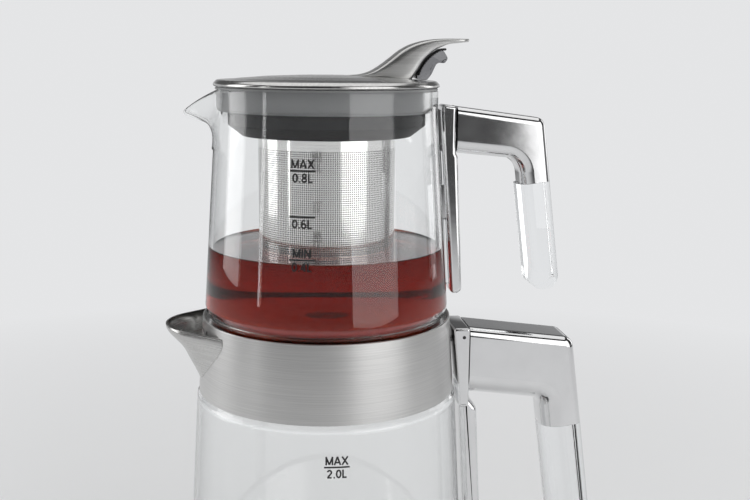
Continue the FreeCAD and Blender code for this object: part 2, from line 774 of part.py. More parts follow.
def make_arm(label, width, points, elbow_round, corner_round, rounds):
    """The chrome arm: its side outline padded across, then rounded differently outside and inside."""
    arm = new_body(label)
    root_low, elbow, inner, outer, corner, root_high = points
    sketch = outline(arm, "XZ_Plane", [root_low, elbow + (elbow_round,), inner, outer,
                                       corner + (corner_round,), root_high])
    across(arm, sketch, width)
    half = width.value / 2
    limit = (elbow[0].value + corner[0].value) / 2
    line = (root_low[1].value + root_high[1].value) / 2

    def on_side(edge):
        return abs(abs(middle_of(edge).y) - half) < 0.01

    def is_cut(edge):
        spot = middle_of(edge)
        low = abs(spot.x - (inner[0].value + outer[0].value) / 2) < 0.5
        return (low and spot.z < inner[1].value + 4) or abs(spot.x - root_low[0].value) < 0.1

    def is_outer(edge):
        spot = middle_of(edge)
        beyond = spot.x > limit and spot.z < line
        return (spot.z > line) or (beyond and spot.x > (inner[0].value + outer[0].value) / 2 - 3)

    round_edges(arm, rounds[0], lambda e: on_side(e) and not is_cut(e) and is_outer(e))
    round_edges(arm, rounds[1], lambda e: on_side(e) and not is_cut(e) and not is_outer(e)
                and e.Curve.TypeId in ("Part::GeomLine", "Part::GeomCircle") and middle_of(e).z < line)
    return arm


def make_grip(label, width, thickness, length, middle, slope, rounds):
    """The clear grip: a straight bar with a full round end, tilted by its placement."""
    grip = new_body(label)
    half = thickness / 2
    side = width / 2
    section = outline(grip, "XY_Plane", [(half, -side, rounds[0]), (half, side, rounds[0]),
                                         (-half, side, rounds[1]), (-half, -side, rounds[1])], -length)
    raise_up(grip, section, length - fit_gap)
    end_round = half - 0.1
    trim = outline(grip, "XZ_Plane", [
        (half + 2, -length + end_round), (half + 2, -length - 2), (-half - 2, -length - 2),
        (-half - 2, -length + end_round), (-half, -length + end_round), (-half, -length, end_round - 0.05),
        (half, -length, end_round - 0.05), (half, -length + end_round)])
    across(grip, trim, width + 2, "Pocket")
    grip.Placement = FreeCAD.Placement(Vector(), FreeCAD.Rotation(Vector(0, 1, 0), -slope.value))
    grip.setExpression("Placement.Rotation.Angle", slope.formula)
    grip.Placement.Rotation.Axis = Vector(0, -1, 0)
    place(grip, middle[0], 0, middle[1])
    return grip


def make_kettle_handle():
    """The spine on collar and glass, the arm, the clear grip and the two fixing screws."""
    top = collar_top - big_top_drop
    points, middle = handle_points(big_root, top, big_depth, big_reach,
                                   (big_arm_slope, big_arm_slope, big_grip_slope), big_neck, big_thickness)
    make_arm("kettle_handle_arm", big_width, points, as_size(4.5), as_size(6),
             (big_outer_round, big_inner_round))
    make_grip("kettle_handle_grip", big_width, big_thickness, big_grip_length, middle, big_grip_slope,
              (big_outer_round, big_inner_round))
    stand_off = 0.6
    low = top - big_depth - 6
    step = collar_bottom - 1
    side_low = glass_foot_radius + (glass_foot_level - spine_foot_level) * glass_slope + stand_off + 2
    inner_low = glass_foot_radius - (low - glass_foot_level) * glass_slope + stand_off
    inner_step = glass_foot_radius - (step - glass_foot_level) * glass_slope + stand_off
    spine = new_body("kettle_handle_spine")
    block_plan = outline(spine, "XZ_Plane", [
        (inner_low, low), (big_root - fit_gap, low), (big_root - fit_gap, top, 1.5),
        (collar_top_radius + collar_slope * big_top_drop + stand_off, top, 1.5), (inner_step, step)])
    across(spine, block_plan, big_width)
    strip = outline(spine, "XZ_Plane", [
        (side_low, spine_foot_level, 3), (side_low + spine_depth, spine_foot_level, 3),
        (inner_low + 2 + spine_depth, low - 1), (big_root - 1, low + 5), (inner_low + 2, low + 5),
        (inner_low + 2, low - 4)])
    across(spine, strip, spine_low_width)
    half = spine_low_width.value / 2
    edge_line = side_low.value + spine_depth.value - 2
    slant = (side_low.value - inner_low.value - 2) / (low.value - 4 - spine_foot_level.value)
    round_edges(spine, spine_round, lambda e: abs(abs(middle_of(e).y) - half) < 0.01 and e.Length > 60
                and middle_of(e).x > edge_line - (middle_of(e).z - spine_foot_level.value) * slant)
    bore_low = circles(spine, "YZ_Plane", [(0, spine_foot_level + skirt_screw_rise, screw_radius + 0.05)],
                       glass_foot_radius - 5)
    feature(spine, "Pocket", bore_low, Length=as_size(17), Reversed=True)
    bore_high = circles(spine, "YZ_Plane", [(0, collar_top - collar_screw_drop, screw_radius + 0.05)],
                        collar_top_radius - 5)
    feature(spine, "Pocket", bore_high, Length=as_size(16), Reversed=True)
    screws = []
    for wall, level in ((collar_top_radius - sheet_steel, collar_top - collar_screw_drop),
                        (skirt_top_radius - sheet_steel, spine_foot_level + skirt_screw_rise)):
        head = rod(screw_head_radius, screw_head, wall - screw_head - 0.2, 0 * wall, level, "x")
        screws.append(fused([head, rod(screw_radius, 10, wall - 1, 0 * wall, level, "x")]))
    group("kettle_handle_screws", screws)


def make_teapot_handle():
    """The spine bonded to the glass by its pads, the arm, the clear grip and two screws."""
    top = pot_rim - small_top_drop
    points, middle = handle_points(small_root, top, small_depth, small_reach,
                                   (small_arm_slope, small_under_slope, small_grip_slope), small_neck,
                                   small_thickness)
    make_arm("teapot_handle_arm", small_width, points, as_size(9), as_size(5),
             (small_outer_round, small_inner_round))
    inward = grip_step / 2
    middle = (middle[0] - inward * cosine(small_grip_slope), middle[1] - inward * sine(small_grip_slope))
    make_grip("teapot_handle_grip", small_width, small_thickness + grip_step, small_grip_length, middle,
              small_grip_slope, (small_outer_round, small_inner_round))
    cone = (pot_bottom_radius - pot_neck_radius) / (pot_neck_level - pot_waist_level)
    foot = pot_foot + small_spine_foot

    def glass_at(level):
        return pot_bottom_radius - (level - pot_foot - pot_waist_level) * cone

    neck_level = pot_foot + pot_neck_level
    near = pad_thickness + 0.3
    spine = new_body("teapot_handle_spine")
    profile = outline(spine, "XZ_Plane", [
        (glass_at(foot) + near, foot, 2), (glass_at(foot) + near + small_spine, foot, 3),
        (small_root + (top - small_depth - foot) * 0.012, top - small_depth - 2),
        (small_root - fit_gap, top - small_depth), (small_root - fit_gap, top),
        (pot_neck_radius + near, top + 1, 1), (glass_at(neck_level) + near, neck_level)])
    across(spine, profile, small_width - 4)
    pads = []
    for level, height in ((foot + 4, long_pad), (neck_level - short_pad_drop, short_pad)):
        pad = new_body("pad")
        nodes.pop("pad")
        shape = outline(pad, "XZ_Plane", [
            (glass_at(level) + 0.15, level), (glass_at(level) + near - 0.1, level),
            (glass_at(level + height) + near - 0.1, level + height),
            (glass_at(level + height) + 0.15, level + height)])
        across(pad, shape, as_size(5))
        pads.append(pad)
    group("bond_pads", pads)
    levels = (top - 7, top - small_depth + 6)
    for level in levels:
        arm = nodes["teapot_handle_arm"]
        for body, start, length in ((spine, pot_neck_radius, 20), (arm, small_root - 2, 9)):
            bore = circles(body, "YZ_Plane", [(0, level, screw_radius + 0.05)], start)
            feature(body, "Pocket", bore, Length=as_size(length), Reversed=True)
        seat = circles(spine, "YZ_Plane", [(0, level, screw_head_radius + 0.15)], pot_neck_radius - 3)
        feature(spine, "Pocket", seat, Length=as_size(3 + screw_head + near + 1.2), Reversed=True)
    screws = []
    for level in levels:
        start = pot_neck_radius + near + 1
        head = rod(screw_head_radius, screw_head, start, 0 * start, level, "x")
        shank = rod(screw_radius, small_root + 5 - start, start + 1, 0 * start, level, "x")
        screws.append(fused([head, shank]))
    group("teapot_handle_screws", screws)


# Teapot glass
def lip_sections(body, stations, inset, lift):
    """Upright sketches across the teapot's spout: a wedge with a rounded keel."""
    sketches = []
    for reach, low, high, half, keel in stations:
        deep = low + inset * 1.3
        wide = (half - inset) * (1 + lift / (high - low))
        sketches.append(outline(body, "YZ_Plane", [(wide, high + lift), (-wide, high + lift),
                                                   (0 * wide, deep, keel)], -reach))
    return sketches


def make_teapot_glass():
    """The conical pot with its pulled spout."""
    pot = new_body("teapot_glass")
    wall = pot_wall
    waist = pot_foot + pot_waist_level
    neck_level = pot_foot + pot_neck_level
    turn(pot, [(0, pot_foot), (pot_bottom_radius - 1, pot_foot, 7), (pot_bottom_radius, waist, 4),
               (pot_neck_radius, neck_level, 30), (pot_neck_radius, pot_rim), (0, pot_rim)])
    lip_top = pot_rim - 0.6
    tip_top = pot_rim - lip_drop
    stations = [(pot_neck_radius - 7, lip_top - lip_depth - 6, lip_top + 0.4, as_size(18), as_size(5)),
                (pot_neck_radius + 2.2, lip_top - lip_depth * 0.8, lip_top - 1.4, as_size(13), as_size(5)),
                (pot_neck_radius + 9, tip_top - 4.6, lip_top - 4.7, as_size(9), as_size(3.6)),
                (lip_reach, tip_top - 1.7, tip_top + 1.6, as_size(5), as_size(1.6))]
    shape = lip_sections(pot, stations, as_size(0), as_size(0))
    feature(pot, "AdditiveLoft", shape[0], Sections=shape[1:])
    turn(pot, [(0, pot_foot + 3), (pot_bottom_radius - wall - 1, pot_foot + 3, 5),
               (pot_bottom_radius - wall, waist, 4), (pot_neck_radius - wall, neck_level, 30),
               (pot_neck_radius - wall, pot_rim + 2), (0, pot_rim + 2)], "Groove")
    hollow = [(pot_neck_radius - 9, lip_top - lip_depth - 2, lip_top + 2, as_size(18.4), as_size(3)),
              (pot_neck_radius + 2, lip_top - lip_depth * 0.74 + 2.4, lip_top, as_size(12.9), as_size(3)),
              (pot_neck_radius + 9, tip_top - 2.2, lip_top - 3.6, as_size(8.6), as_size(1.6)),
              (lip_reach + 1.5, tip_top + 0.4, tip_top + 3, as_size(4.2), as_size(0.6))]
    carved = lip_sections(pot, hollow, as_size(1.5), as_size(2.5))
    feature(pot, "SubtractiveLoft", carved[0], Sections=carved[1:])


# Strainer and lid
def make_strainer():
    """The fine-mesh basket, its black ring and the translucent rim seal that hangs them on the glass."""
    flange_low = pot_rim + 0.2
    flange_high = flange_low + seal_thickness
    skirt_low = flange_high - seal_depth - seal_thickness
    skirt_out = pot_neck_radius - pot_wall - slide_gap
    skirt_in = skirt_out - 2.2
    web = 1.6
    turned("rim_seal", [
        (ring_radius - 3.2, skirt_low), (skirt_out - 0.4, skirt_low), (skirt_out, skirt_low + 1.2),
        (skirt_out, flange_low), (pot_neck_radius - 0.3, flange_low),
        (pot_neck_radius - 0.3, flange_high, 0.4),
        (skirt_in, flange_high), (skirt_in, skirt_low + web), (ring_radius - 3.2, skirt_low + web)])
    ring_top = skirt_low - 0.05
    ring_foot = ring_top - ring_height
    turned("strainer_ring", [
        (basket_radius + 0.15, ring_foot), (ring_low_radius, ring_foot, 0.8),
        (ring_radius, ring_foot + 5.5, 1), (ring_radius, ring_top, 0.5), (ring_radius - 3.4, ring_top),
        (ring_radius - 3.4, ring_top + web + 1.2, 0.4), (ring_radius - 5.4, ring_top + web + 1.2, 0.4),
        (basket_radius + 3, ring_top - 1.2),
        (basket_radius + 0.15, ring_top - 1.2)])
    basket_top = ring_top - 0.55
    wall = basket_wall
    foot = basket_top - basket_depth
    turned("strainer_basket", [
        (0, foot), (basket_radius, foot, 3), (basket_radius, basket_top - wall),
        (basket_radius + 2.5, basket_top - wall), (basket_radius + 2.5, basket_top),
        (basket_radius - wall, basket_top),
        (basket_radius - wall, foot + wall, 3 - wall), (0, foot + wall)])
    return flange_high, skirt_in


def make_lid(seal_top, seal_inner):
    """The domed steel lid with its liner, thumb lever, clear insert and screws."""
    under = seal_top + 0.2
    edge_top = under + lid_edge
    crown = under + lid_crown
    sheet = lid_sheet
    cover = turned("lid_cover", [
        (0, crown - sheet), (lid_radius * 0.55, crown - sheet - 0.7), (lid_radius - 5, edge_top - sheet),
        (lid_radius - 1.6, under + 0.4), (lid_radius - 1.4, under), (lid_radius - 0.4, under, 0.3),
        (lid_radius, under + lid_edge * 0.6, 0.8), (lid_radius - 3, edge_top + 0.3, 3),
        (lid_radius * 0.55, crown - 0.7, crown_round), (0, crown)])
    liner_low = under - liner_depth
    turned("lid_liner", [
        (0, liner_low), (seal_inner - liner_gap, liner_low, 1), (seal_inner - liner_gap, under + 0.2),
        (lid_radius - 7.4, under + 0.2), (lid_radius - 7.4, under + 1.2),
        (lid_radius * 0.55, crown - sheet - 1.1), (0, crown - sheet - 0.4)])
    lever = new_body("lid_lever")
    seat = crown - 0.25
    bridge = lever_tip - lever_foot
    peak = crown + lever_rise
    top_line = [(0.0, 0.0), (0.086, 0.03), (0.172, 0.115), (0.258, 0.28), (0.345, 0.5), (0.43, 0.7),
                (0.515, 0.84), (0.6, 0.925), (0.685, 0.975), (0.77, 0.995), (1.0, 1.0)]
    low_line = [(1.0, 0.91), (0.9, 0.87), (0.83, 0.84), (0.76, 0.77), (0.705, 0.685), (0.645, 0.52),
                (0.605, 0.385), (0.58, 0.25), (0.547, 0.09), (0.53, -0.12), (0.52, -0.18), (0.0, -0.18)]
    corners = []
    for share, lift in top_line:
        corners.append((lever_foot + bridge * share, seat + (peak - seat) * lift))
    for share, lift in low_line:
        corners.append((lever_foot + bridge * share, seat + (peak - seat) * lift))
    corners.reverse()
    across(lever, outline(lever, "XZ_Plane", corners), lever_width)
    half = lever_width.value / 2
    round_edges(lever, 6.0, lambda e: abs(abs(middle_of(e).y) - half) < 0.01
                and abs(middle_of(e).x - lever_tip.value) < 0.05)
    turn(lever, [(0, under - 2), (lid_radius + 5, under - 2), (lid_radius + 5, edge_top + 0.35),
                 (lid_radius - 3, edge_top + 0.35), (lid_radius * 0.55, crown - 0.65, crown_round),
                 (0, crown + 0.05)],
         "Groove")
    insert = new_body("lid_lever_insert")
    shape = [(0.599, -0.1), (0.649, -0.1), (0.683, 0.035), (0.73, 0.38), (0.799, 0.353), (0.823, 0.488),
             (0.788, 0.671), (0.745, 0.72), (0.712, 0.655), (0.655, 0.49), (0.616, 0.36), (0.591, 0.24),
             (0.558, 0.084), (0.56, -0.06)]
    spots = [(lever_foot + bridge * share, seat + (peak - seat) * lift) for share, lift in shape]
    across(insert, outline(insert, "XZ_Plane", spots), lever_width - 6)
    screws = []
    for share in (0.27, 0.45):
        x = lever_foot + bridge * share
        for body, start in ((cover, crown - 6), (lever, seat - 4), (nodes["lid_liner"], liner_low - 1)):
            depth = {"lid_cover": 8, "lid_lever": 6.2, "lid_liner": 12}[body.Label]
            raise_up(body, circles(body, "XY_Plane", [(x, 0, screw_radius + 0.1)], start), depth, "Pocket")
        head = rod(screw_head_radius, screw_head, x, 0 * x, liner_low - screw_head - 0.05)
        screws.append(fused([head, rod(screw_radius, seat + 1.9 - liner_low, x, 0 * x, liner_low - 0.5)]))
    group("lid_screws", screws)


def export():
    """Checks every object and writes each sub-part to its own file."""
    doc.recompute()
    for item in doc.Objects:
        if "Invalid" in item.State or "Error" in item.State:
            raise RuntimeError("{} failed: {}".format(item.Label, item.State))
    os.makedirs("parts", exist_ok=True)
    for label, item in nodes.items():
        shape = item.Shape
        if shape.isNull() or not shape.isValid() or not shape.Solids:
            raise RuntimeError("{} has no valid solid".format(label))
        shape.exportStep("parts/{}.step".format(label))
        print("{:24s} {:2d} solid(s) {:10.1f} mm3".format(label, len(shape.Solids), shape.Volume))


make_power_base()
make_kettle_base()
make_kettle_glass()
make_collar()
make_kettle_spout()
make_kettle_handle()
make_teapot_glass()
make_teapot_handle()
seal_top, seal_inner = make_strainer()
make_lid(seal_top, seal_inner)
export()
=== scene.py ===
"""Dresses the two-stage tea maker and sets up its studio.

Lengths in the classes are millimetres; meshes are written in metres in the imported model's frame.
"""

import logging
import math
from dataclasses import dataclass, field
from enum import Enum
from typing import Any, Callable, Sequence

import bmesh
import bpy
import numpy as np
from mathutils import Matrix, Vector

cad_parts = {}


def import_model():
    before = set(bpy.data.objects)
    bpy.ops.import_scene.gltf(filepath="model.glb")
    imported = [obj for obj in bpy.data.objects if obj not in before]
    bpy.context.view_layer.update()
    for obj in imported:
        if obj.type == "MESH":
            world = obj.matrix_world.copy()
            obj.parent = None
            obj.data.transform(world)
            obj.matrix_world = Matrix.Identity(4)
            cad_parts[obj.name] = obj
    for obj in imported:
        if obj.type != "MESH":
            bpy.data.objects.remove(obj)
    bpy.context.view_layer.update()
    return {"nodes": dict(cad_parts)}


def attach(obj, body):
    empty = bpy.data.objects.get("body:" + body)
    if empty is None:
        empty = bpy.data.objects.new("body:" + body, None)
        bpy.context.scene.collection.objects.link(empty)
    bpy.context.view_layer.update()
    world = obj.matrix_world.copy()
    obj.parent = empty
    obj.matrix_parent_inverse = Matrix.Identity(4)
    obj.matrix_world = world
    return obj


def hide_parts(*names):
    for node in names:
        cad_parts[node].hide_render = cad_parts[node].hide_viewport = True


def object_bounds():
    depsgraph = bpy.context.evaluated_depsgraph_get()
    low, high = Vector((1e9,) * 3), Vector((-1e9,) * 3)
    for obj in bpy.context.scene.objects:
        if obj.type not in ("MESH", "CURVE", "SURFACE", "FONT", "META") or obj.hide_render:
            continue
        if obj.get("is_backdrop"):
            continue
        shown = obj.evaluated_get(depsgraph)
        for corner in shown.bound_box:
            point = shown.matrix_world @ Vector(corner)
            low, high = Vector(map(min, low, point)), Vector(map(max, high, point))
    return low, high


MM = 0.001
COLLAR_TOP = 238.0
LOG = logging.getLogger("tea_maker")
Triple = tuple[float, float, float]


class Wave(Enum):
    """Which way the fine streaks of a brushed surface run."""

    ROUND = (25.0, 25.0, 5200.0)
    RINGS = (900.0, 900.0, 40.0)
    LEVEL = (40.0, 40.0, 2600.0)


class Level(Enum):
    """Words beside a fill line: above it and below it."""

    POT_MAX = ("MAX", "0.8L")
    POT_MIDDLE = ("", "0.6L")
    POT_MIN = ("MIN", "0.4L")
    KETTLE_MAX = ("MAX", "2.0L")


class Term:
    """A shader value that can be used in ordinary sums."""

    def __init__(self, tree: "Paint", socket: Any) -> None:
        """Keeps the node tree and the output socket."""
        self.tree = tree
        self.socket = socket

    def _maths(self, operation: str, first: Any, second: Any) -> "Term":
        """One Math node's result for two terms or numbers."""
        return self.tree.add("ShaderNodeMath", {"operation": operation}, {0: first, 1: second})

    def __add__(self, other: Any) -> "Term":
        """Sum."""
        return self._maths("ADD", self, other)

    def __sub__(self, other: Any) -> "Term":
        """Difference."""
        return self._maths("SUBTRACT", self, other)

    def __rsub__(self, other: Any) -> "Term":
        """Difference with this term last."""
        return self._maths("SUBTRACT", other, self)

    def __mul__(self, other: Any) -> "Term":
        """Product."""
        return self._maths("MULTIPLY", self, other)

    def __gt__(self, other: Any) -> "Term":
        """One where this term is the larger, else nought."""
        return self._maths("GREATER_THAN", self, other)

    def __lt__(self, other: Any) -> "Term":
        """One where this term is the smaller, else nought."""
        return self._maths("LESS_THAN", self, other)

    def power(self, other: Any) -> "Term":
        """This term raised to a power."""
        return self._maths("POWER", self, other)

    def larger(self, other: Any) -> "Term":
        """The larger of two terms."""
        return self._maths("MAXIMUM", self, other)

    def repeat(self, period: float) -> "Term":
        """Distance to the nearest whole multiple of a period."""
        return self._maths("PINGPONG", self, period / 2)

    def unit(self, low: float, high: float) -> "Term":
        """This term spread from low to high onto nought to one, and held there."""
        settings = {"clamp": True}
        return self.tree.add("ShaderNodeMapRange", settings, {0: self, 1: low, 2: high, 3: 0.0, 4: 1.0})


class Paint:
    """One material and the nodes that make it."""

    def __init__(self, name: str, slot: str) -> None:
        """Starts an empty material.

        Args:
            name: the material's name.
            slot: the record's material slot that it stands for.
        """
        self.material = bpy.data.materials.new(name)
        self.material.use_nodes = True
        self.slot = slot
        self.start(self.material.node_tree, "ShaderNodeOutputMaterial")

    def start(self, tree: bpy.types.NodeTree, ending: str) -> None:
        """Clears a tree and gives it its output node of the given type."""
        self.nodes, self.links = tree.nodes, tree.links
        self.nodes.clear()
        self.output = self.nodes.new(ending)

    @classmethod
    def of_tree(cls, tree: bpy.types.NodeTree, ending: str) -> "Paint":
        """A painter for a tree that no material owns, such as the world's."""
        made = cls.__new__(cls)
        made.material, made.slot = None, ""
        made.start(tree, ending)
        return made

    def add(self, kind: str, settings: dict[str, Any], inputs: dict[Any, Any], out: Any = 0) -> Term:
        """Adds a node.

        Args:
            kind: the node's type.
            settings: properties of the node.
            inputs: values or terms for its sockets, by index or name.
            out: the output socket, by index or name.

        Returns:
            The output as a term.
        """
        node = self.nodes.new(kind)
        for key, value in settings.items():
            setattr(node, key, value)
        for key, value in inputs.items():
            if isinstance(value, Term):
                self.links.new(value.socket, node.inputs[key])
            else:
                node.inputs[key].default_value = value
        return Term(self, node.outputs[out])

    def object_place(self) -> Term:
        """The place on the object, in metres."""
        return self.add("ShaderNodeTexCoord", {}, {}, "Object")

    def parts_of(self, vector: Term) -> tuple[Term, Term, Term]:
        """A vector's three numbers."""
        split = self.add("ShaderNodeSeparateXYZ", {}, {0: vector})
        outs = split.socket.node.outputs
        return Term(self, outs[0]), Term(self, outs[1]), Term(self, outs[2])

    def noise(self, scale: float | Triple, detail: float = 2.0) -> Term:
        """Smooth noise over a stretched copy of the object's space.

        Args:
            scale: how many waves a metre holds, in all or along X, Y and Z.
            detail: how many finer layers are added.

        Returns:
            Values round a half.
        """
        stretch = scale if isinstance(scale, tuple) else (scale,) * 3
        moved = self.add("ShaderNodeMapping", {}, {"Vector": self.object_place(), "Scale": stretch}, "Vector")
        values = {"Vector": moved, "Scale": 1.0, "Detail": detail, "Roughness": 0.55}
        return self.add("ShaderNodeTexNoise", {}, values)

    def tint(self, low: Triple, high: Triple | Term, share: Term) -> Term:
        """Mixes two colours by a term.

        Args:
            low: colour where the term is nought.
            high: colour where it is one.
            share: the term.

        Returns:
            The colour.
        """
        end = high if isinstance(high, Term) else (*high, 1.0)
        return self.add("ShaderNodeMix", {"data_type": "RGBA"}, {0: share, 6: (*low, 1.0), 7: end}, 2)

    def clouded(self, colour: Triple, dark: float, waves: Term) -> Term:
        """A colour that noise darkens in patches, down to the given share of it."""
        return self.tint(tuple(c * dark for c in colour), colour, waves)

    def bump(self, height: Term, strength: float, depth: float) -> Term:
        """A bumped normal.

        Args:
            height: the relief, from nought to one.
            strength: how far it counts.
            depth: its depth in metres.

        Returns:
            The normal.
        """
        inputs = {"Height": height, "Strength": strength, "Distance": depth}
        return self.add("ShaderNodeBump", {}, inputs, "Normal")

    def body(self, **sockets: Any) -> Term:
        """Adds the main shader.

        Args:
            sockets: its sockets, with underscores for blanks.

        Returns:
            The shader.
        """
        inputs = {key.replace("_", " "): value for key, value in sockets.items()}
        return self.add("ShaderNodeBsdfPrincipled", {}, inputs)

    def finish(self, shader: Term) -> bpy.types.Material:
        """Connects the surface and hands the material over."""
        self.links.new(shader.socket, self.output.inputs["Surface"])
        return self.material


class Finish:
    """What a surface is made of: a name, the record's material slot that it stands for, and a shader."""

    name: str
    slot: str

    def surface(self, paint: Paint) -> Term:
        """Adds the shader; each kind of finish has its own."""
        raise NotImplementedError

    def make(self) -> bpy.types.Material:
        """Makes the material."""
        paint = Paint(self.name, self.slot)
        return paint.finish(self.surface(paint))


@dataclass(frozen=True)
class BrushedSteel(Finish):
    """Stainless steel with fine streaks."""

    name: str
    wave: Wave
    colour: Triple
    rough: float
    slot: str = "steel"
    streak_shade: float = 0.8
    streak_depth: float = 0.00004

    def surface(self, paint: Paint) -> Term:
        """Streaks are noise stretched along the brushing; they vary colour, roughness and relief.

        Args:
            paint: the material's nodes.

        Returns:
            The shader.
        """
        streak = paint.noise(self.wave.value, 4.0)
        colour = paint.clouded(self.colour, self.streak_shade, streak.unit(0.3, 0.7))
        rough = streak.unit(0.25, 0.75) * 0.12 + paint.noise(30.0) * 0.04 + (self.rough - 0.08)
        normal = paint.bump(streak, 0.35, self.streak_depth)
        return paint.body(Base_Color=colour, Roughness=rough, Metallic=1.0, Normal=normal)


@dataclass(frozen=True)
class Polished(Finish):
    """Bright plated or polished metal with faint handling marks."""

    name: str
    colour: Triple = (0.80, 0.80, 0.805)
    rough: float = 0.055
    slot: str = "chrome_trim"
    ripple: float = 0.0003

    def surface(self, paint: Paint) -> Term:
        """Roughness drifts a little in soft patches, and a long slow ripple bends reflections.

        Args:
            paint: the material's nodes.

        Returns:
            The shader.
        """
        patch = paint.noise(60.0, 3.0)
        colour = paint.clouded(self.colour, 0.95, patch.unit(0.35, 0.65))
        rough = patch.unit(0.35, 0.7) * 0.05 + paint.noise(900.0) * 0.02 + self.rough
        normal = paint.bump(patch, 0.08, self.ripple)
        return paint.body(Base_Color=colour, Roughness=rough, Metallic=1.0, Normal=normal)


@dataclass(frozen=True)
class Moulded(Finish):
    """Moulded plastic, rubber or a board's lacquer: a colour with a fine grain."""

    name: str
    slot: str
    colour: Triple
    rough: float = 0.45
    grain: float = 1600.0
    depth: float = 0.00006
    coat: float = 0.0
    shine: float = 0.5

    def surface(self, paint: Paint) -> Term:
        """Grain is small noise in relief, with slow patches in colour and roughness.

        Args:
            paint: the material's nodes.

        Returns:
            The shader.
        """
        grain = paint.noise(self.grain, 3.0)
        patch = paint.noise(45.0)
        light = tuple(min(1.0, c * 1.18 + 0.004) for c in self.colour)
        colour = paint.tint(self.colour, light, patch.unit(0.3, 0.7))
        rough = grain * 0.12 + patch * 0.06 + (self.rough - 0.08)
        normal = paint.bump(grain, 0.35, self.depth)
        sockets = {"Coat_Weight": self.coat, "Specular_IOR_Level": self.shine}
        return paint.body(Base_Color=colour, Roughness=rough, Normal=normal, **sockets)


@dataclass(frozen=True)
class Clear(Finish):
    """Clear glass or acrylic, with painted edge shade: the colour darkens where the eye runs along the wall.
    """

    name: str
    slot: str
    colour: Triple = (0.985, 0.99, 0.99)
    # edge: the painted edge shade, the colour where the eye runs along the wall
    edge: Triple = (0.22, 0.24, 0.25)
    index: float = 1.47
    sharp: float = 4.5
    wipe: float = 0.012

    def surface(self, paint: Paint) -> Term:
        """Faint wiping marks lift the roughness in patches; the colour darkens towards the edge colour, a
        painted edge shade, by a power of how far the eye runs along the wall.

        Args:
            paint: the material's nodes.

        Returns:
            The shader.
        """
        patch = paint.noise((18.0, 18.0, 9.0), 3.0)
        rough = patch.unit(0.55, 0.8) * self.wipe
        # painted edge shade: the colour darkens where the eye runs along the wall, standing in for the dark
        # outlines that glass shows
        painted_edge_shade = paint.add("ShaderNodeLayerWeight", {}, {"Blend": 0.5}, "Facing").power(self.sharp)
        colour = paint.tint(self.colour, self.edge, painted_edge_shade)
        return paint.body(Base_Color=colour, Roughness=rough, IOR=self.index, Transmission_Weight=1.0)


@dataclass(frozen=True)
class Translucent(Finish):
    """Milky silicone that lets some light through."""

    name: str = "milky_silicone"
    slot: str = "clear_silicone"
    colour: Triple = (0.74, 0.745, 0.75)
    passing: float = 0.72

    def surface(self, paint: Paint) -> Term:
        """Rough transmission with a slight cloudiness in colour.

        Args:
            paint: the material's nodes.

        Returns:
            The shader.
        """
        cloud = paint.noise(70.0)
        colour = paint.clouded(self.colour, 0.9, cloud.unit(0.3, 0.7))
        rough = cloud * 0.08 + 0.3
        return paint.body(Base_Color=colour, Roughness=rough, IOR=1.41, Transmission_Weight=self.passing)


@dataclass(frozen=True)
class Tea(Finish):
    """Black tea, clear and red-brown, darker where it is deep."""

    name: str = "tea_liquid"
    slot: str = "clear_glass"
    depth_colour: Triple = (0.78, 0.30, 0.13)
    density: float = 40.0
    # glow: painted light, the brighter colour that the surface takes near the floor
    glow: Triple = (0.80, 0.20, 0.04)
    painted_glow_foot: float = 0.238
    painted_glow_top: float = 0.256
    deep: tuple[Triple, Triple] = ((0.27, 0.045, 0.014), (0.33, 0.06, 0.02))

    def surface(self, paint: Paint) -> Term:
        """The surface tints a little, with a painted glow of light that makes it brighter and warmer near the
        floor, and the depth takes away most green and blue.

        Args:
            paint: the material's nodes.

        Returns:
            The shader.
        """
        cloud = paint.noise((35.0, 35.0, 60.0), 3.0)
        _, _, height = paint.parts_of(paint.object_place())
        deep = paint.tint(*self.deep, cloud.unit(0.35, 0.65))
        # painted light: the colour brightens to the glow near the floor
        colour = paint.tint(self.glow, deep, height.unit(self.painted_glow_foot, self.painted_glow_top))
        depth = {"Color": (*self.depth_colour, 1.0), "Density": self.density}
        volume = paint.add("ShaderNodeVolumeAbsorption", {}, depth)
        paint.links.new(volume.socket, paint.output.inputs["Volume"])
        return paint.body(Base_Color=colour, Roughness=0.0, IOR=1.333, Transmission_Weight=1.0)


@dataclass(frozen=True)
class Perforated(Finish):
    """Thin steel sheet with a square field of small round holes between two heights."""

    name: str = "strainer_mesh"
    slot: str = "steel"
    pitch: float = 1.05
    hole: float = 0.34
    depth: float = 0.45
    first: float = 273.5
    last: float = 323.8
    # painted shade: the dark colour that fills each hole, standing for the shaded inside of the basket
    painted_hole_shade: Triple = (0.02, 0.018, 0.015)
    streaks: tuple[Triple, Triple] = ((0.66, 0.655, 0.64), (0.76, 0.755, 0.745))

    def surface(self, paint: Paint) -> Term:
        """A hole is where the distance to the nearest grid point, on the wall's own lengths, is small.

        In a hole, and at its edge, the wall is painted dark as shade and is partly open to what is behind.

        Args:
            paint: the material's nodes.

        Returns:
            The shader.
        """
        lengths = paint.add("ShaderNodeUVMap", {"uv_map": "lengths"}, {})
        along, up, _ = paint.parts_of(lengths)
        side = along.repeat(self.pitch)
        rise = up.repeat(self.pitch)
        gap = (side * side + rise * rise).power(0.5)
        inside = (up > self.first) * (up < self.last)
        solid = gap.unit(self.hole * 0.8, self.hole * 1.2).larger(1.0 - inside)
        streak = paint.noise(Wave.LEVEL.value, 3.0)
        steel = paint.tint(*self.streaks, streak.unit(0.3, 0.7))
        # painted shade in the holes
        colour = paint.tint(self.painted_hole_shade, steel, solid)
        rough = streak * 0.05 + 0.07
        normal = paint.bump(solid, 0.3, 0.0001)
        alpha = solid * self.depth + (1.0 - self.depth)
        return paint.body(Base_Color=colour, Roughness=rough, Metallic=1.0, Alpha=alpha, Normal=normal)


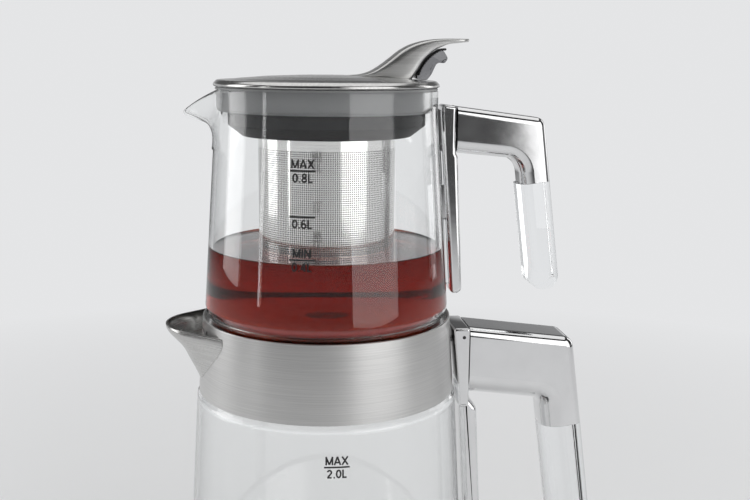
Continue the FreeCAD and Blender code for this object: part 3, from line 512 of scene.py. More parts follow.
@dataclass(frozen=True)
class Ink(Finish):
    """Baked-on print."""

    name: str
    slot: str = "black_plastic"
    colour: Triple = (0.012, 0.012, 0.013)

    def surface(self, paint: Paint) -> Term:
        """Nearly flat colour with small density changes.

        Args:
            paint: the material's nodes.

        Returns:
            The shader.
        """
        spot = paint.noise(2500.0)
        light = tuple(c * 1.6 + 0.006 for c in self.colour)
        colour = paint.tint(self.colour, light, spot.unit(0.35, 0.7))
        return paint.body(Base_Color=colour, Roughness=spot * 0.1 + 0.4)


class Shapes:
    """Surfaces worked out as whole arrays."""

    @staticmethod
    def line(corners: Sequence[Sequence[float]], closed: bool = False, steps: int = 8) -> np.ndarray:
        """A polyline whose corners are rounded.

        Each corner with a radius is cut back along both sides by the radius over the tangent of half the
        angle between them, and the cut is bridged by points of the arc.

        Args:
            corners: (x, y) or (x, y, radius) in millimetres.
            closed: whether the last point joins the first.
            steps: points on each round.

        Returns:
            Points, one per row.
        """
        spots = np.array([c[:2] for c in corners], float)
        count = len(spots)
        found = []
        for i, corner in enumerate(corners):
            radius = corner[2] if len(corner) > 2 else 0.0
            if radius <= 0 or (not closed and i in (0, count - 1)):
                found.append(spots[i][None])
                continue
            back = spots[i - 1] - spots[i]
            ahead = spots[(i + 1) % count] - spots[i]
            back /= np.linalg.norm(back)
            ahead /= np.linalg.norm(ahead)
            half = math.acos(float(np.clip(back @ ahead, -1, 1))) / 2
            reach = radius / math.tan(half)
            share = np.linspace(0, 1, steps)[:, None]
            start, end = spots[i] + back * reach, spots[i] + ahead * reach
            middle = spots[i] + (back + ahead) / np.linalg.norm(back + ahead) * radius / math.sin(half)
            first, last = start - middle, end - middle
            sweep = math.pi - 2 * half
            arc = (first * np.sin((1 - share) * sweep) + last * np.sin(share * sweep)) / math.sin(sweep)
            found.append(middle + arc)
        return np.vstack(found)

    @staticmethod
    def spread(points: np.ndarray, step: float) -> np.ndarray:
        """Adds points so that no gap is longer than a step.

        Args:
            points: a polyline.
            step: the longest gap.

        Returns:
            The denser polyline, with every old point kept.
        """
        gaps = np.linalg.norm(np.diff(points, axis=0), axis=1)
        counts = np.maximum(1, np.ceil(gaps / step).astype(int))
        shares = [np.linspace(0, 1, n, endpoint=False) + i for i, n in enumerate(counts)]
        places = np.append(np.concatenate(shares), len(points) - 1)
        known = np.arange(len(points))
        return np.stack([np.interp(places, known, points[:, k]) for k in range(points.shape[1])], axis=1)

    @staticmethod
    def curve(points: Sequence[Sequence[float]], count: int) -> np.ndarray:
        """A smooth curve through points: cubic pieces whose slopes are the mean of the chords at each point.

        Args:
            points: places to pass, one per row.
            count: how many points to return.

        Returns:
            The curve's points, evenly spread over its length.
        """
        spots = np.array(points, float)
        chord = np.linalg.norm(np.diff(spots, axis=0), axis=1)
        knots = np.concatenate([[0], np.cumsum(chord)])
        slopes = np.gradient(spots, knots, axis=0)
        fine = np.linspace(0, knots[-1], count * 6)
        piece = np.clip(np.searchsorted(knots, fine, side="right") - 1, 0, len(knots) - 2)
        width = (knots[piece + 1] - knots[piece])[:, None]
        share = (fine - knots[piece])[:, None] / width
        cube, square = share**3, share**2
        path = (2 * cube - 3 * square + 1) * spots[piece] + (3 * square - 2 * cube) * spots[piece + 1]
        path += ((cube - 2 * square + share) * slopes[piece] + (cube - square) * slopes[piece + 1]) * width
        run = np.concatenate([[0], np.cumsum(np.linalg.norm(np.diff(path, axis=0), axis=1))])
        even = np.linspace(0, run[-1], count)
        return np.stack([np.interp(even, run, path[:, k]) for k in range(spots.shape[1])], axis=1)

    @staticmethod
    def turned(profile: np.ndarray, sides: int = 160) -> np.ndarray:
        """A surface of revolution: each profile point (radius, height) becomes a circle.

        Args:
            profile: radius and height in millimetres.
            sides: points round the circle.

        Returns:
            Grid of shape (sides, profile points, 3).
        """
        angle = np.linspace(0, 2 * np.pi, sides, endpoint=False)[:, None]
        radius, height = profile[:, 0][None], profile[:, 1][None]
        return np.stack([radius * np.cos(angle), radius * np.sin(angle), height + 0 * angle], axis=2)

    @staticmethod
    def slab(outline: np.ndarray, half: float, edge: float) -> np.ndarray:
        """A closed outline carried across, its long edges rounded.

        Across, the outline stays whole up to the edge's round; there each point moves inwards, square to the
        outline, along a quarter circle. A last ring lies in each flat side, so that the sides shade flat.

        Args:
            outline: points along X and Z in millimetres, turning left.
            half: half the width along Y.
            edge: radius of the round.

        Returns:
            Grid of outline by steps across.
        """
        run = np.roll(outline, -1, axis=0) - np.roll(outline, 1, axis=0)
        run /= np.linalg.norm(run, axis=1, keepdims=True)
        inward = np.stack([-run[:, 1], run[:, 0]], axis=1)
        turn = np.linspace(0, np.pi / 2, 7)
        side = np.append(half - edge + edge * np.sin(turn), half)
        drop = np.append(edge * (1 - np.cos(turn)), edge + 0.3)
        across, sunk = np.concatenate([-side[::-1], side]), np.concatenate([drop[::-1], drop])
        flat = outline[:, None] + inward[:, None] * sunk[None, :, None]
        return np.stack([flat[:, :, 0], across[None] + 0 * flat[:, :, 0], flat[:, :, 1]], axis=2)

    @staticmethod
    def mesh(name: str, grid: np.ndarray, round_second: bool = False, caps: bool = False,
             crease: float = 38.0) -> bpy.types.Object:
        """Turns a grid of points into a closed, outward-facing piece; its first direction closes on itself.

        Args:
            name: the piece's name.
            grid: points in millimetres, shape (first, second, 3).
            round_second: whether the second direction closes on itself too.
            caps: whether the two ends of the second direction get a flat face.
            crease: edges sharper than this many degrees stay sharp.

        Returns:
            The piece.
        """
        rows, columns, _ = grid.shape
        index = np.arange(rows * columns).reshape(rows, columns)
        index = np.vstack([index, index[:1]])
        if round_second:
            index = np.hstack([index, index[:, :1]])
        corners = (index[:-1, :-1], index[1:, :-1], index[1:, 1:], index[:-1, 1:])
        faces = np.stack(corners, axis=2).reshape(-1, 4).tolist()
        if caps:
            faces += [index[:-1, 0].tolist(), index[:-1, -1][::-1].tolist()]
        data = bpy.data.meshes.new(name)
        data.from_pydata((grid.reshape(-1, 3) * MM).tolist(), [], faces)
        return Shapes.settle(name, data, crease)

    @staticmethod
    def settle(name: str, data: bpy.types.Mesh, crease: float = 38.0) -> bpy.types.Object:
        """Merges doubled points, turns faces outwards and shades smoothly.

        Args:
            name: the piece's name.
            data: its mesh, already in place.
            crease: edges sharper than this many degrees stay sharp.

        Returns:
            The linked object.
        """
        work = bmesh.new()
        work.from_mesh(data)
        bmesh.ops.remove_doubles(work, verts=work.verts, dist=1e-7)
        bmesh.ops.recalc_face_normals(work, faces=work.faces)
        work.to_mesh(data)
        work.free()
        data.shade_smooth()
        data.set_sharp_from_angle(angle=math.radians(crease))
        piece = bpy.data.objects.new(name, data)
        bpy.context.scene.collection.objects.link(piece)
        return piece


@dataclass
class Workshop:
    """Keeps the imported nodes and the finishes, and puts pieces on their bodies."""

    nodes: dict[str, Any]
    finishes: dict[str, bpy.types.Material] = field(default_factory=dict)

    def finish(self, recipe: Finish) -> bpy.types.Material:
        """Makes a finish's material once, and hands the same one over later.

        Args:
            recipe: the finish.

        Returns:
            Its material.
        """
        if recipe.name not in self.finishes:
            self.finishes[recipe.name] = recipe.make()
        return self.finishes[recipe.name]

    def fit(self, piece: bpy.types.Object, body: str, recipe: Finish, *stands_for: str) -> None:
        """Dresses a piece, sets it on its body and reports it.

        Args:
            piece: the new piece.
            body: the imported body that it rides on.
            recipe: its finish.
            stands_for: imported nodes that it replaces.
        """
        piece.data.materials.clear()
        piece.data.materials.append(self.finish(recipe))
        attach(piece, body)
        if stands_for:
            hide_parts(*stands_for)
        LOG.info("%s on %s, %d faces", piece.name, body, len(piece.data.polygons))

    def dress(self, recipe: Finish, *names: str) -> None:
        """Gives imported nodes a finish.

        Args:
            recipe: the finish.
            names: the nodes.
        """
        for name in names:
            node = self.nodes[name]
            if node.data.materials:
                node.data.materials[0] = self.finish(recipe)
            else:
                node.data.materials.append(self.finish(recipe))
            LOG.info("%s keeps its packed shape", name)


BRUSHED = BrushedSteel("brushed_round", Wave.ROUND, (0.74, 0.735, 0.725), 0.34)
SATIN = BrushedSteel("satin_level", Wave.LEVEL, (0.64, 0.635, 0.625), 0.24)
SPUN = BrushedSteel("spun_rings", Wave.RINGS, (0.72, 0.715, 0.705), 0.2)
BRIGHT = Polished("bright_chrome")
SCREW = Polished("screw_metal", (0.62, 0.62, 0.62), 0.2, "screw_steel")
BLACK = Moulded("black_housing", "black_plastic", (0.022, 0.022, 0.024), 0.36)
GASKET = Moulded("grey_gasket", "grey_silicone", (0.33, 0.33, 0.34), 0.5)
RUBBER = Moulded("foot_rubber", "rubber_feet", (0.025, 0.025, 0.025), 0.7, 900.0, 0.00012)
GLASS = Clear("clear_glass_wall", "clear_glass")
# The grip's fourth colour is its painted edge shade, where the eye runs along the wall.
ACRYLIC = Clear("clear_grip", "clear_acrylic", (0.965, 0.975, 0.98), (0.10, 0.11, 0.115), 1.49, 2.6)
PRINT = Ink("black_print")


class Sheet:
    """Flat ribbons gathered into one thin piece."""

    def __init__(self) -> None:
        """Starts with nothing on it."""
        self.points: list[np.ndarray] = []
        self.faces: list[tuple[int, ...]] = []
        self.count = 0

    def ribbon(self, path: np.ndarray, width: float) -> None:
        """Adds a band of even width: each point of the path moved half the width to both sides.

        Args:
            path: points across and up, in millimetres.
            width: the band's width.
        """
        run = np.gradient(path, axis=0)
        run /= np.linalg.norm(run, axis=1, keepdims=True)
        side = np.stack([-run[:, 1], run[:, 0]], axis=1) * width / 2
        step = len(path)
        starts = range(self.count, self.count + step - 1)
        self.points.append(np.vstack([path - side, path + side]))
        self.faces += [(i, i + 1, i + 1 + step, i + step) for i in starts]
        self.count += 2 * step

    def piece(self, name: str, place: Callable[..., np.ndarray]) -> bpy.types.Object:
        """Lays the flat points on a surface.

        Args:
            name: the piece's name.
            place: turns arrays of across and up into points in space.

        Returns:
            The linked piece.
        """
        flat = np.vstack(self.points)
        data = bpy.data.meshes.new(name)
        data.from_pydata((place(flat[:, 0], flat[:, 1]) * MM).tolist(), [], self.faces)
        piece = bpy.data.objects.new(name, data)
        bpy.context.scene.collection.objects.link(piece)
        return piece


class Letters:
    """Plain block letters drawn as ribbons in a box one unit high."""

    WIDTHS = {"M": 0.86, "A": 0.78, "X": 0.74, "I": 0.22, "N": 0.74, "L": 0.52, ".": 0.2}
    DIGIT = 0.62
    GAP = 0.12
    STROKE = 0.2

    @staticmethod
    def oval(x: float, y: float, half_x: float, half_y: float, start: float = 0.0,
             sweep: float = 360.0) -> np.ndarray:
        """Points on an ellipse, from a starting angle through a sweep."""
        angle = np.radians(start + np.linspace(0, sweep, 25))
        return np.stack([x + half_x * np.cos(angle), y + half_y * np.sin(angle)], axis=1)

    @classmethod
    def strokes(cls, sign: str) -> list[np.ndarray]:
        """A sign's lines: straight ones by their ends, round ones as parts of ellipses.

        Args:
            sign: a letter, digit or dot.

        Returns:
            One array of points for each line.
        """
        oval = cls.oval
        signs = {
            "M": [[(0.07, 0), (0.07, 1)], [(0.04, 1), (0.43, 0.05)], [(0.82, 1), (0.43, 0.05)],
                  [(0.79, 0), (0.79, 1)]],
            "A": [[(0.04, 0), (0.39, 1)], [(0.74, 0), (0.39, 1)], [(0.17, 0.3), (0.61, 0.3)]],
            "X": [[(0.04, 0), (0.70, 1)], [(0.04, 1), (0.70, 0)]],
            "I": [[(0.11, 0), (0.11, 1)]],
            "N": [[(0.07, 0), (0.07, 1)], [(0.05, 1), (0.69, 0)], [(0.67, 0), (0.67, 1)]],
            "L": [[(0.07, 0), (0.07, 1)], [(0.0, 0.07), (0.5, 0.07)]],
            ".": [[(0.02, 0.07), (0.17, 0.07)]],
            "0": [oval(0.3, 0.5, 0.24, 0.43)],
            "8": [oval(0.3, 0.74, 0.2, 0.2), oval(0.3, 0.27, 0.24, 0.21)],
            "6": [oval(0.3, 0.3, 0.23, 0.24), oval(0.3, 0.46, 0.24, 0.47, 50, 150)],
            "4": [[(0.44, 0), (0.44, 1)], [(0.45, 1), (0.04, 0.3)], [(0.0, 0.27), (0.58, 0.27)]],
            "2": [oval(0.29, 0.7, 0.22, 0.23, 170, -215), [(0.45, 0.55), (0.06, 0.06)],
                  [(0.03, 0.07), (0.54, 0.07)]],
        }
        return [np.array(line, float) for line in signs[sign]]

    @classmethod
    def write(cls, sheet: Sheet, text: str, height: float, middle: float) -> None:
        """Adds a centred word.

        Args:
            sheet: what the word goes on.
            text: its signs.
            height: height of a capital.
            middle: place of the word's middle line.
        """
        widths = [cls.WIDTHS.get(sign, cls.DIGIT) + cls.GAP for sign in text]
        left = (cls.GAP - sum(widths)) / 2
        for sign, width in zip(text, widths):
            for line in cls.strokes(sign):
                placed = (line + (left, -0.5)) * height + (0.0, middle)
                sheet.ribbon(Shapes.spread(placed, 0.5), height * cls.STROKE)
            left += width


@dataclass
class Marks:
    """Printed fill lines on a conical wall."""

    shop: Workshop
    body: str
    radius_at: Callable[[Any], Any]
    turn: float
    width: float = 12.0
    stroke: float = 0.8
    letter: float = 4.0
    above_gap: float = 1.1
    below_gap: float = 1.2
    proud: float = 0.06

    def build(self, name: str, level: Level, height: float) -> None:
        """Wraps the line and its words on the wall.

        A flat point (across, up) goes to the angle across over radius from the marks' middle, on the wall's
        radius at that height plus the thickness of the print.

        Args:
            name: the piece's name.
            level: its words.
            height: the line's height above the floor.
        """
        above, below = level.value
        sheet = Sheet()
        line = np.array([(-self.width / 2, height), (self.width / 2, height)])
        sheet.ribbon(Shapes.spread(line, self.width / 16), self.stroke)
        if above:
            Letters.write(sheet, above, self.letter, height + self.above_gap + self.letter / 2)
        if below:
            Letters.write(sheet, below, self.letter, height - self.below_gap - self.letter / 2)

        def wrap(across: np.ndarray, up: np.ndarray) -> np.ndarray:
            """Bends the flat print round the wall."""
            radius = self.radius_at(up) + self.proud
            angle = math.radians(self.turn) + across / radius
            return np.stack([radius * np.cos(angle), radius * np.sin(angle), up], axis=1)

        self.shop.fit(sheet.piece(name, wrap), self.body, PRINT)


@dataclass
class Teapot:
    """The glass pot with its pulled lip, its tea, its marks and its handle."""

    shop: Workshop
    foot: float = 236.0
    rim: float = 351.7
    wall: float = 2.3
    foot_radius: float = 62.1
    rim_radius: float = 55.5
    waist: float = 8.0
    cone: float = 96.0
    lip_start: float = 86.0
    lip_drop: float = 1.04
    lip_tip: float = 70.8
    lip_root: tuple[float, float] = (52.0, 19.6)
    tea_level: float = 273.3
    tea_overlap: float = 0.12
    floor: float = 3.0
    mark_turn: float = -105.0
    mark_rises: Triple = (79.2, 58.4, 38.7)
    spine_half: float = 8.0

    def radius_at(self, height: Any) -> Any:
        """Outer radius of the cone: it shrinks evenly from the waist to the neck and is straight above."""
        share = np.clip((np.asarray(height, float) - self.foot - self.waist) / self.cone, 0, 1)
        return self.foot_radius + (self.rim_radius - self.foot_radius) * share

    def lip_share(self, angle: np.ndarray) -> np.ndarray:
        """How far each direction is drawn out, from nought to one at the tip.

        In plan the lip's edge is a straight line from a point near the tip to one on the rim; the share is
        the ray's reach to that line beyond the rim, over the tip's, softened at both ends.

        Args:
            angle: directions in radians from the lip's axis.

        Returns:
            The shares.
        """
        tip = np.array([self.lip_tip + 1.6, 1.0])
        side = np.array(self.lip_root) - tip
        bearing = np.abs((angle + np.pi) % (2 * np.pi) - np.pi)
        ray = np.stack([np.cos(bearing), np.sin(bearing)], axis=-1)
        cross = tip[0] * side[1] - tip[1] * side[0]
        reach = cross / (ray[..., 0] * side[1] - ray[..., 1] * side[0])
        reach = np.where(bearing < 0.7, reach, 0.0)
        excess = reach - self.rim_radius
        soft = 0.5 * (excess + np.sqrt(excess**2 + 1.8**2)) - 0.45 * np.exp(-(excess / 4) ** 2)
        limit = self.lip_tip - self.rim_radius
        soft = limit - 0.5 * ((limit - soft) + np.sqrt((limit - soft) ** 2 + 0.9**2)) + 0.2
        return np.clip(soft / limit, 0, 1) * np.clip((0.62 - bearing) / 0.2, 0, 1)

    def glass_shell(self) -> np.ndarray:
        """The whole wall, outside and inside.

        Outside, each direction blends the plain cone with the lip's keel by that direction's share. The
        inside is the outside moved inwards by the wall, and a half round joins the two at the rim.

        Returns:
            Grid of directions by profile.
        """
        angle = np.linspace(0, 2 * np.pi, 144, endpoint=False)
        fine = np.pi + np.linspace(-0.5, 0.5, 90)
        angle = np.sort(np.concatenate([angle[np.abs(angle - np.pi) > 0.5], fine]))
        share = self.lip_share(angle - np.pi)[:, None]
        base = Shapes.line([(0, 0), (self.foot_radius - 1.2, 0, 7), (self.foot_radius, self.waist, 4),
                            (self.radius_at(self.foot + self.lip_start), self.lip_start)])
        base = Shapes.spread(base, 4.0)
        lift = np.linspace(0, 1, 40)[1:]
        plain_height = self.lip_start + (self.rim - self.foot - self.lip_start) * lift
        plain = np.stack([self.radius_at(plain_height + self.foot), plain_height], axis=1)
        keel = Shapes.curve([(57.4, self.lip_start), (56.9, 91.0), (57.3, 95.2), (58.9, 98.4), (62.8, 100.4),
                             (67.6, 102.3), (70.4, 103.6), (self.lip_tip, 104.6)], 40)[1:]
        mixed = plain[None] * (1 - share[:, :, None]) + keel[None] * share[:, :, None]
        mixed[:, :, 1] -= (share**4 - share) * self.lip_drop * lift[None] ** 4
        outside = np.concatenate([np.repeat(base[None], len(angle), axis=0), mixed], axis=1)
        run = np.gradient(outside, axis=1)
        run /= np.linalg.norm(run, axis=2, keepdims=True) + 1e-9
        inward = np.stack([-run[:, :, 1], run[:, :, 0]], axis=2)
        depth = np.full(outside.shape[:2], self.wall)
        depth[:, :3] = self.floor
        beak = np.concatenate([np.zeros((len(angle), len(base))), share * lift[None]], axis=1)
        inside = outside + inward * (depth * (1 - 0.25 * beak))[:, :, None]
        inside[:, 0, 0] = 0.0
        inside[:, :, 0] = np.maximum(inside[:, :, 0], 0.0)
        top_out, top_in = outside[:, -1], inside[:, -1]
        middle, half = (top_out + top_in) / 2, (top_out - top_in) / 2
        up = run[:, -1] * np.linalg.norm(half, axis=1, keepdims=True)
        turn = np.linspace(0, np.pi, 7)[None, 1:-1, None]
        bead = middle[:, None] + half[:, None] * np.cos(turn) + up[:, None] * np.sin(turn) * 0.8
        profile = np.concatenate([outside, bead, inside[:, ::-1]], axis=1)
        profile[:, :, 1] = np.minimum(profile[:, :, 1], self.rim - self.foot)
        cosine, sine = np.cos(angle)[:, None], np.sin(angle)[:, None]
        radius, height = profile[:, :, 0], profile[:, :, 1] + self.foot
        return np.stack([radius * cosine, radius * sine, height], axis=2)

    def tea(self) -> np.ndarray:
        """The tea reaches just into the glass wall, so that no air shows between, and creeps up at its edge.

        Returns:
            Grid of directions by profile.
        """
        inner = self.wall - self.tea_overlap
        level = self.tea_level - self.foot
        edge = float(self.radius_at(self.tea_level)) - inner
        body = Shapes.line([(0, 2.9), (self.foot_radius - self.wall - 1.0, 2.9, 5.5),
                            (self.foot_radius - inner, 8.6, 4), (edge, level + 0.9),
                            (edge - 0.6, level + 0.35), (edge - 2.4, level, 2), (0, level)])
        body[:, 1] += self.foot
        return Shapes.turned(Shapes.spread(body, 4.0), 128)

    def build(self) -> None:
        """Makes the glass, the tea, the marks and the spine, and dresses the rest of the handle."""
        shop = self.shop
        glass = Shapes.mesh("pot_glass_wall", self.glass_shell(), crease=70.0)
        shop.fit(glass, "teapot", GLASS, "teapot_glass")
        shop.fit(Shapes.mesh("tea", self.tea()), "teapot", Tea())
        marks = Marks(shop, "teapot", self.radius_at, self.mark_turn)
        levels = (("top", Level.POT_MAX), ("middle", Level.POT_MIDDLE), ("low", Level.POT_MIN))
        for (place, level), rise in zip(levels, self.mark_rises):
            marks.build("pot_mark_" + place, level, COLLAR_TOP + rise)
        spine = Shapes.line([(63.6, 248.0, 2.2), (69.6, 248.0, 3.0), (65.9, 318.7), (64.9, 320.7),
                             (64.9, 344.1, 1.9), (57.3, 345.1, 1.9), (57.3, 340.0)], closed=True)
        spine = Shapes.slab(Shapes.spread(spine, 5.0), self.spine_half, 1.8)
        shop.fit(Shapes.mesh("pot_spine", spine, caps=True), "teapot", BRIGHT, "teapot_handle_spine")
        shop.dress(BRIGHT, "teapot_handle_arm")
        shop.dress(ACRYLIC, "teapot_handle_grip", "bond_pads")
        shop.dress(SCREW, "teapot_handle_screws")


@dataclass
class Strainer:
    """The perforated basket, its black ring and the milky rim seal."""

    shop: Workshop
    radius: float = 34.4
    foot: float = 269.8
    top: float = 340.8
    wall: float = 0.5
    flange: float = 2.5
    corner: float = 3.0
    sheet: Perforated = Perforated()

    def build(self) -> None:
        """Makes the basket with lengths along its wall as its own map, and dresses the ring and the seal."""
        inside, lip, floor = self.radius - self.wall, self.radius + self.flange, self.foot + self.wall
        outer = Shapes.line([(0, self.foot), (self.radius, self.foot, self.corner),
                             (self.radius, self.top - self.wall), (lip, self.top - self.wall)])
        inner = Shapes.line([(0, floor), (inside, floor, self.corner - self.wall), (inside, self.top),
                             (lip, self.top)])
        profile = np.vstack([Shapes.spread(outer, 5.0), Shapes.spread(inner, 5.0)[::-1]])
        basket = Shapes.mesh("strainer_wall", Shapes.turned(profile, 144))
        self.lay_lengths(basket)
        self.shop.fit(basket, "strainer", self.sheet, "strainer_basket")
        ring = Moulded("ring_black", "black_plastic", (0.004, 0.004, 0.005), 0.55, shine=0.22)
        self.shop.dress(ring, "strainer_ring")
        self.shop.dress(Translucent(), "rim_seal")

    def lay_lengths(self, piece: bpy.types.Object) -> None:
        """Writes a map whose first number is the length round the wall and whose second is the height.

        The length is the angle times the radius, in millimetres, stretched a little so that whole holes fill
        the turn; a face that crosses the seam counts on past the full turn. On the floor the height is below
        the holes.

        Args:
            piece: the basket.
        """
        data = piece.data
        spots = np.zeros(len(data.vertices) * 3)
        data.vertices.foreach_get("co", spots)
        spots = spots.reshape(-1, 3) / MM
        corner = np.zeros(len(data.loops), int)
        data.loops.foreach_get("vertex_index", corner)
        starts = np.zeros(len(data.polygons), int)
        sizes = np.zeros(len(data.polygons), int)
        data.polygons.foreach_get("loop_start", starts)
        data.polygons.foreach_get("loop_total", sizes)
        angle = np.arctan2(spots[corner, 1], spots[corner, 0])
        first = np.repeat(angle[starts], sizes)
        angle = first + (angle - first + np.pi) % (2 * np.pi) - np.pi
        pitch = self.sheet.pitch
        turn = round(2 * np.pi * self.radius / pitch) * pitch
        lengths = np.stack([angle / (2 * np.pi) * turn, spots[corner, 2]], axis=1)
        layer = data.uv_layers.new(name="lengths")
        layer.data.foreach_set("uv", lengths.astype(np.float32).ravel())


@dataclass
class Lid:
    """The domed cover, its thumb lever and the clear insert under it."""

    shop: Workshop
    under: float = 353.3
    radius: float = 56.2
    crown: float = 5.7
    edge: float = 2.6
    lever_half: float = 9.9
    tip_taper: float = 3.2
    strip_half: float = 7.6
    strip_length: float = 20.5
    rib_pitch: float = 1.5
    insert_half: float = 7.0

    def cover(self) -> np.ndarray:
        """The cover's section: a shallow dome, a rolled edge band and the sheet's underside."""
        low, top, wide = self.under, self.under + self.crown, self.radius
        rim = self.under + self.edge
        return Shapes.line([(0, top), (15, top - 0.12, 60), (31, top - 0.75, 90), (44, top - 1.8, 40),
                            (50, rim + 0.6, 6), (wide - 1.8, rim + 0.6, 1.9), (wide, rim - 1.2, 1.6),
                            (wide, low + 0.5, 0.5), (wide - 0.9, low + 0.02, 0.3), (wide - 1.5, low + 0.05),
                            (wide - 1.7, low + 0.5), (wide - 5, rim - 1.0), (31, top - 1.7), (0, top - 1.0)])

    def lever(self) -> np.ndarray:
        """The lever's skin: at each step from foot to tip, a rounded section across.

        The upper and lower curves are followed in step; between them stands a closed section, a rounded box
        whose half width tapers at the tip.

        Returns:
            Grid of sections by steps.
        """
        upper = Shapes.curve([(11.2, 358.92), (16.6, 359.35), (21.6, 360.85), (26.6, 363.8), (31.6, 367.6),
                              (36.5, 371.4), (41.5, 374.1), (46.6, 375.75), (51.6, 376.75), (56.7, 377.15),
                              (63.0, 377.25), (70.2, 377.2)], 56)
        lower = Shapes.curve([(13.0, 358.2), (26.0, 358.0), (41.4, 357.0), (43.6, 360.0), (45.6, 363.6),
                              (47.1, 366.0), (49.4, 368.6), (52.8, 371.5), (56.0, 373.0), (59.5, 374.4),
                              (64.5, 375.1), (70.0, 375.7)], 56)
        run = np.linspace(0, 1, 56)
        half = self.lever_half - self.tip_taper * np.clip((run - 0.9) / 0.1, 0, 1) ** 3
        turn = np.linspace(0, 2 * np.pi, 40, endpoint=False)[:, None]
        side = np.sign(np.cos(turn)) * np.abs(np.cos(turn)) ** 0.28
        rise = np.sign(np.sin(turn)) * np.abs(np.sin(turn)) ** 0.5
        middle, reach = (upper + lower) / 2, (upper - lower) / 2
        x = middle[:, 0][None] + rise * reach[:, 0][None]
        z = middle[:, 1][None] + rise * reach[:, 1][None]
        y = side * half[None]
        return np.stack([x, y + 0 * x, z], axis=2)

    def strip(self) -> np.ndarray:
        """The black ribbed strip that lines the lever's hollow: its thickness swells with each rib.

        Returns:
            Grid of sections by steps.
        """
        path = Shapes.curve([(44.6, 359.4), (45.9, 362.6), (47.5, 365.2), (49.7, 367.8), (53.0, 370.6),
                             (56.2, 372.2), (58.6, 372.6)], 120)
        run = np.gradient(path, axis=0)
        run /= np.linalg.norm(run, axis=1, keepdims=True)
        out = np.stack([run[:, 1], -run[:, 0]], axis=1)
        length = np.linspace(0, self.strip_length, 120)
        thick = 0.7 + 0.5 * np.abs(np.sin(np.pi * length / self.rib_pitch))
        turn = np.linspace(0, 2 * np.pi, 20, endpoint=False)[:, None]
        depth = (1 + np.sin(turn)) / 2 * thick[None]
        side = np.sign(np.cos(turn)) * np.abs(np.cos(turn)) ** 0.3 * self.strip_half
        x, z = path[:, 0] + depth * out[:, 0], path[:, 1] + depth * out[:, 1]
        return np.stack([x, side + 0 * x, z], axis=2)

    def insert(self) -> np.ndarray:
        """The clear insert: a hooked outline carried across with rounded edges.

        Returns:
            Grid of outline by steps across.
        """
        outline = Shapes.line([(46.4, 357.0, 0.6), (49.5, 357.0, 0.8), (51.5, 359.6, 2), (54.3, 365.6, 2.5),
                               (58.3, 365.3, 1.2), (59.9, 367.6, 1.5), (57.8, 371.0, 1.2), (55.2, 372.0, 1.5),
                               (53.2, 370.8, 2), (49.9, 367.8, 4), (47.6, 365.3, 3), (46.1, 363.1, 3),
                               (44.1, 360.2, 1.5), (44.3, 357.6, 0.8)], closed=True, steps=5)
        middle = outline.mean(axis=0)
        half = self.insert_half
        across = np.array([-half, 0.2 - half, 0.8 - half, 0.0, half - 0.8, half - 0.2, half])
        shrink = np.array([0.93, 0.975, 1.0, 1.0, 1.0, 0.975, 0.93])
        flat = middle + (outline - middle)[:, None] * shrink[None, :, None]
        return np.stack([flat[:, :, 0], across[None] + 0 * flat[:, :, 0], flat[:, :, 1]], axis=2)

    def build(self) -> None:
        """Makes the cover, the lever and the insert, and dresses the rest."""
        shop = self.shop
        cover = Shapes.mesh("lid_dome", Shapes.turned(Shapes.spread(self.cover(), 4.0), 180))
        shop.fit(cover, "lid", SPUN, "lid_cover")
        lever = Shapes.mesh("thumb_lever", self.lever(), caps=True)
        shop.fit(lever, "lid", BrushedSteel("satin_lever", Wave.LEVEL, (0.72, 0.72, 0.71), 0.34), "lid_lever")
        insert = Shapes.mesh("lever_insert", self.insert(), caps=True)
        # The insert's second colour is its painted edge shade, where the eye runs along the wall.
        smoky = Clear("smoky_insert", "clear_acrylic", (0.24, 0.24, 0.25), (0.05, 0.05, 0.055), 1.49)
        shop.fit(insert, "lid", smoky, "lid_lever_insert")
        shop.fit(Shapes.mesh("lever_strip", self.strip(), caps=True), "lid", BLACK)
        shop.dress(BLACK, "lid_liner")
        shop.dress(SCREW, "lid_screws")


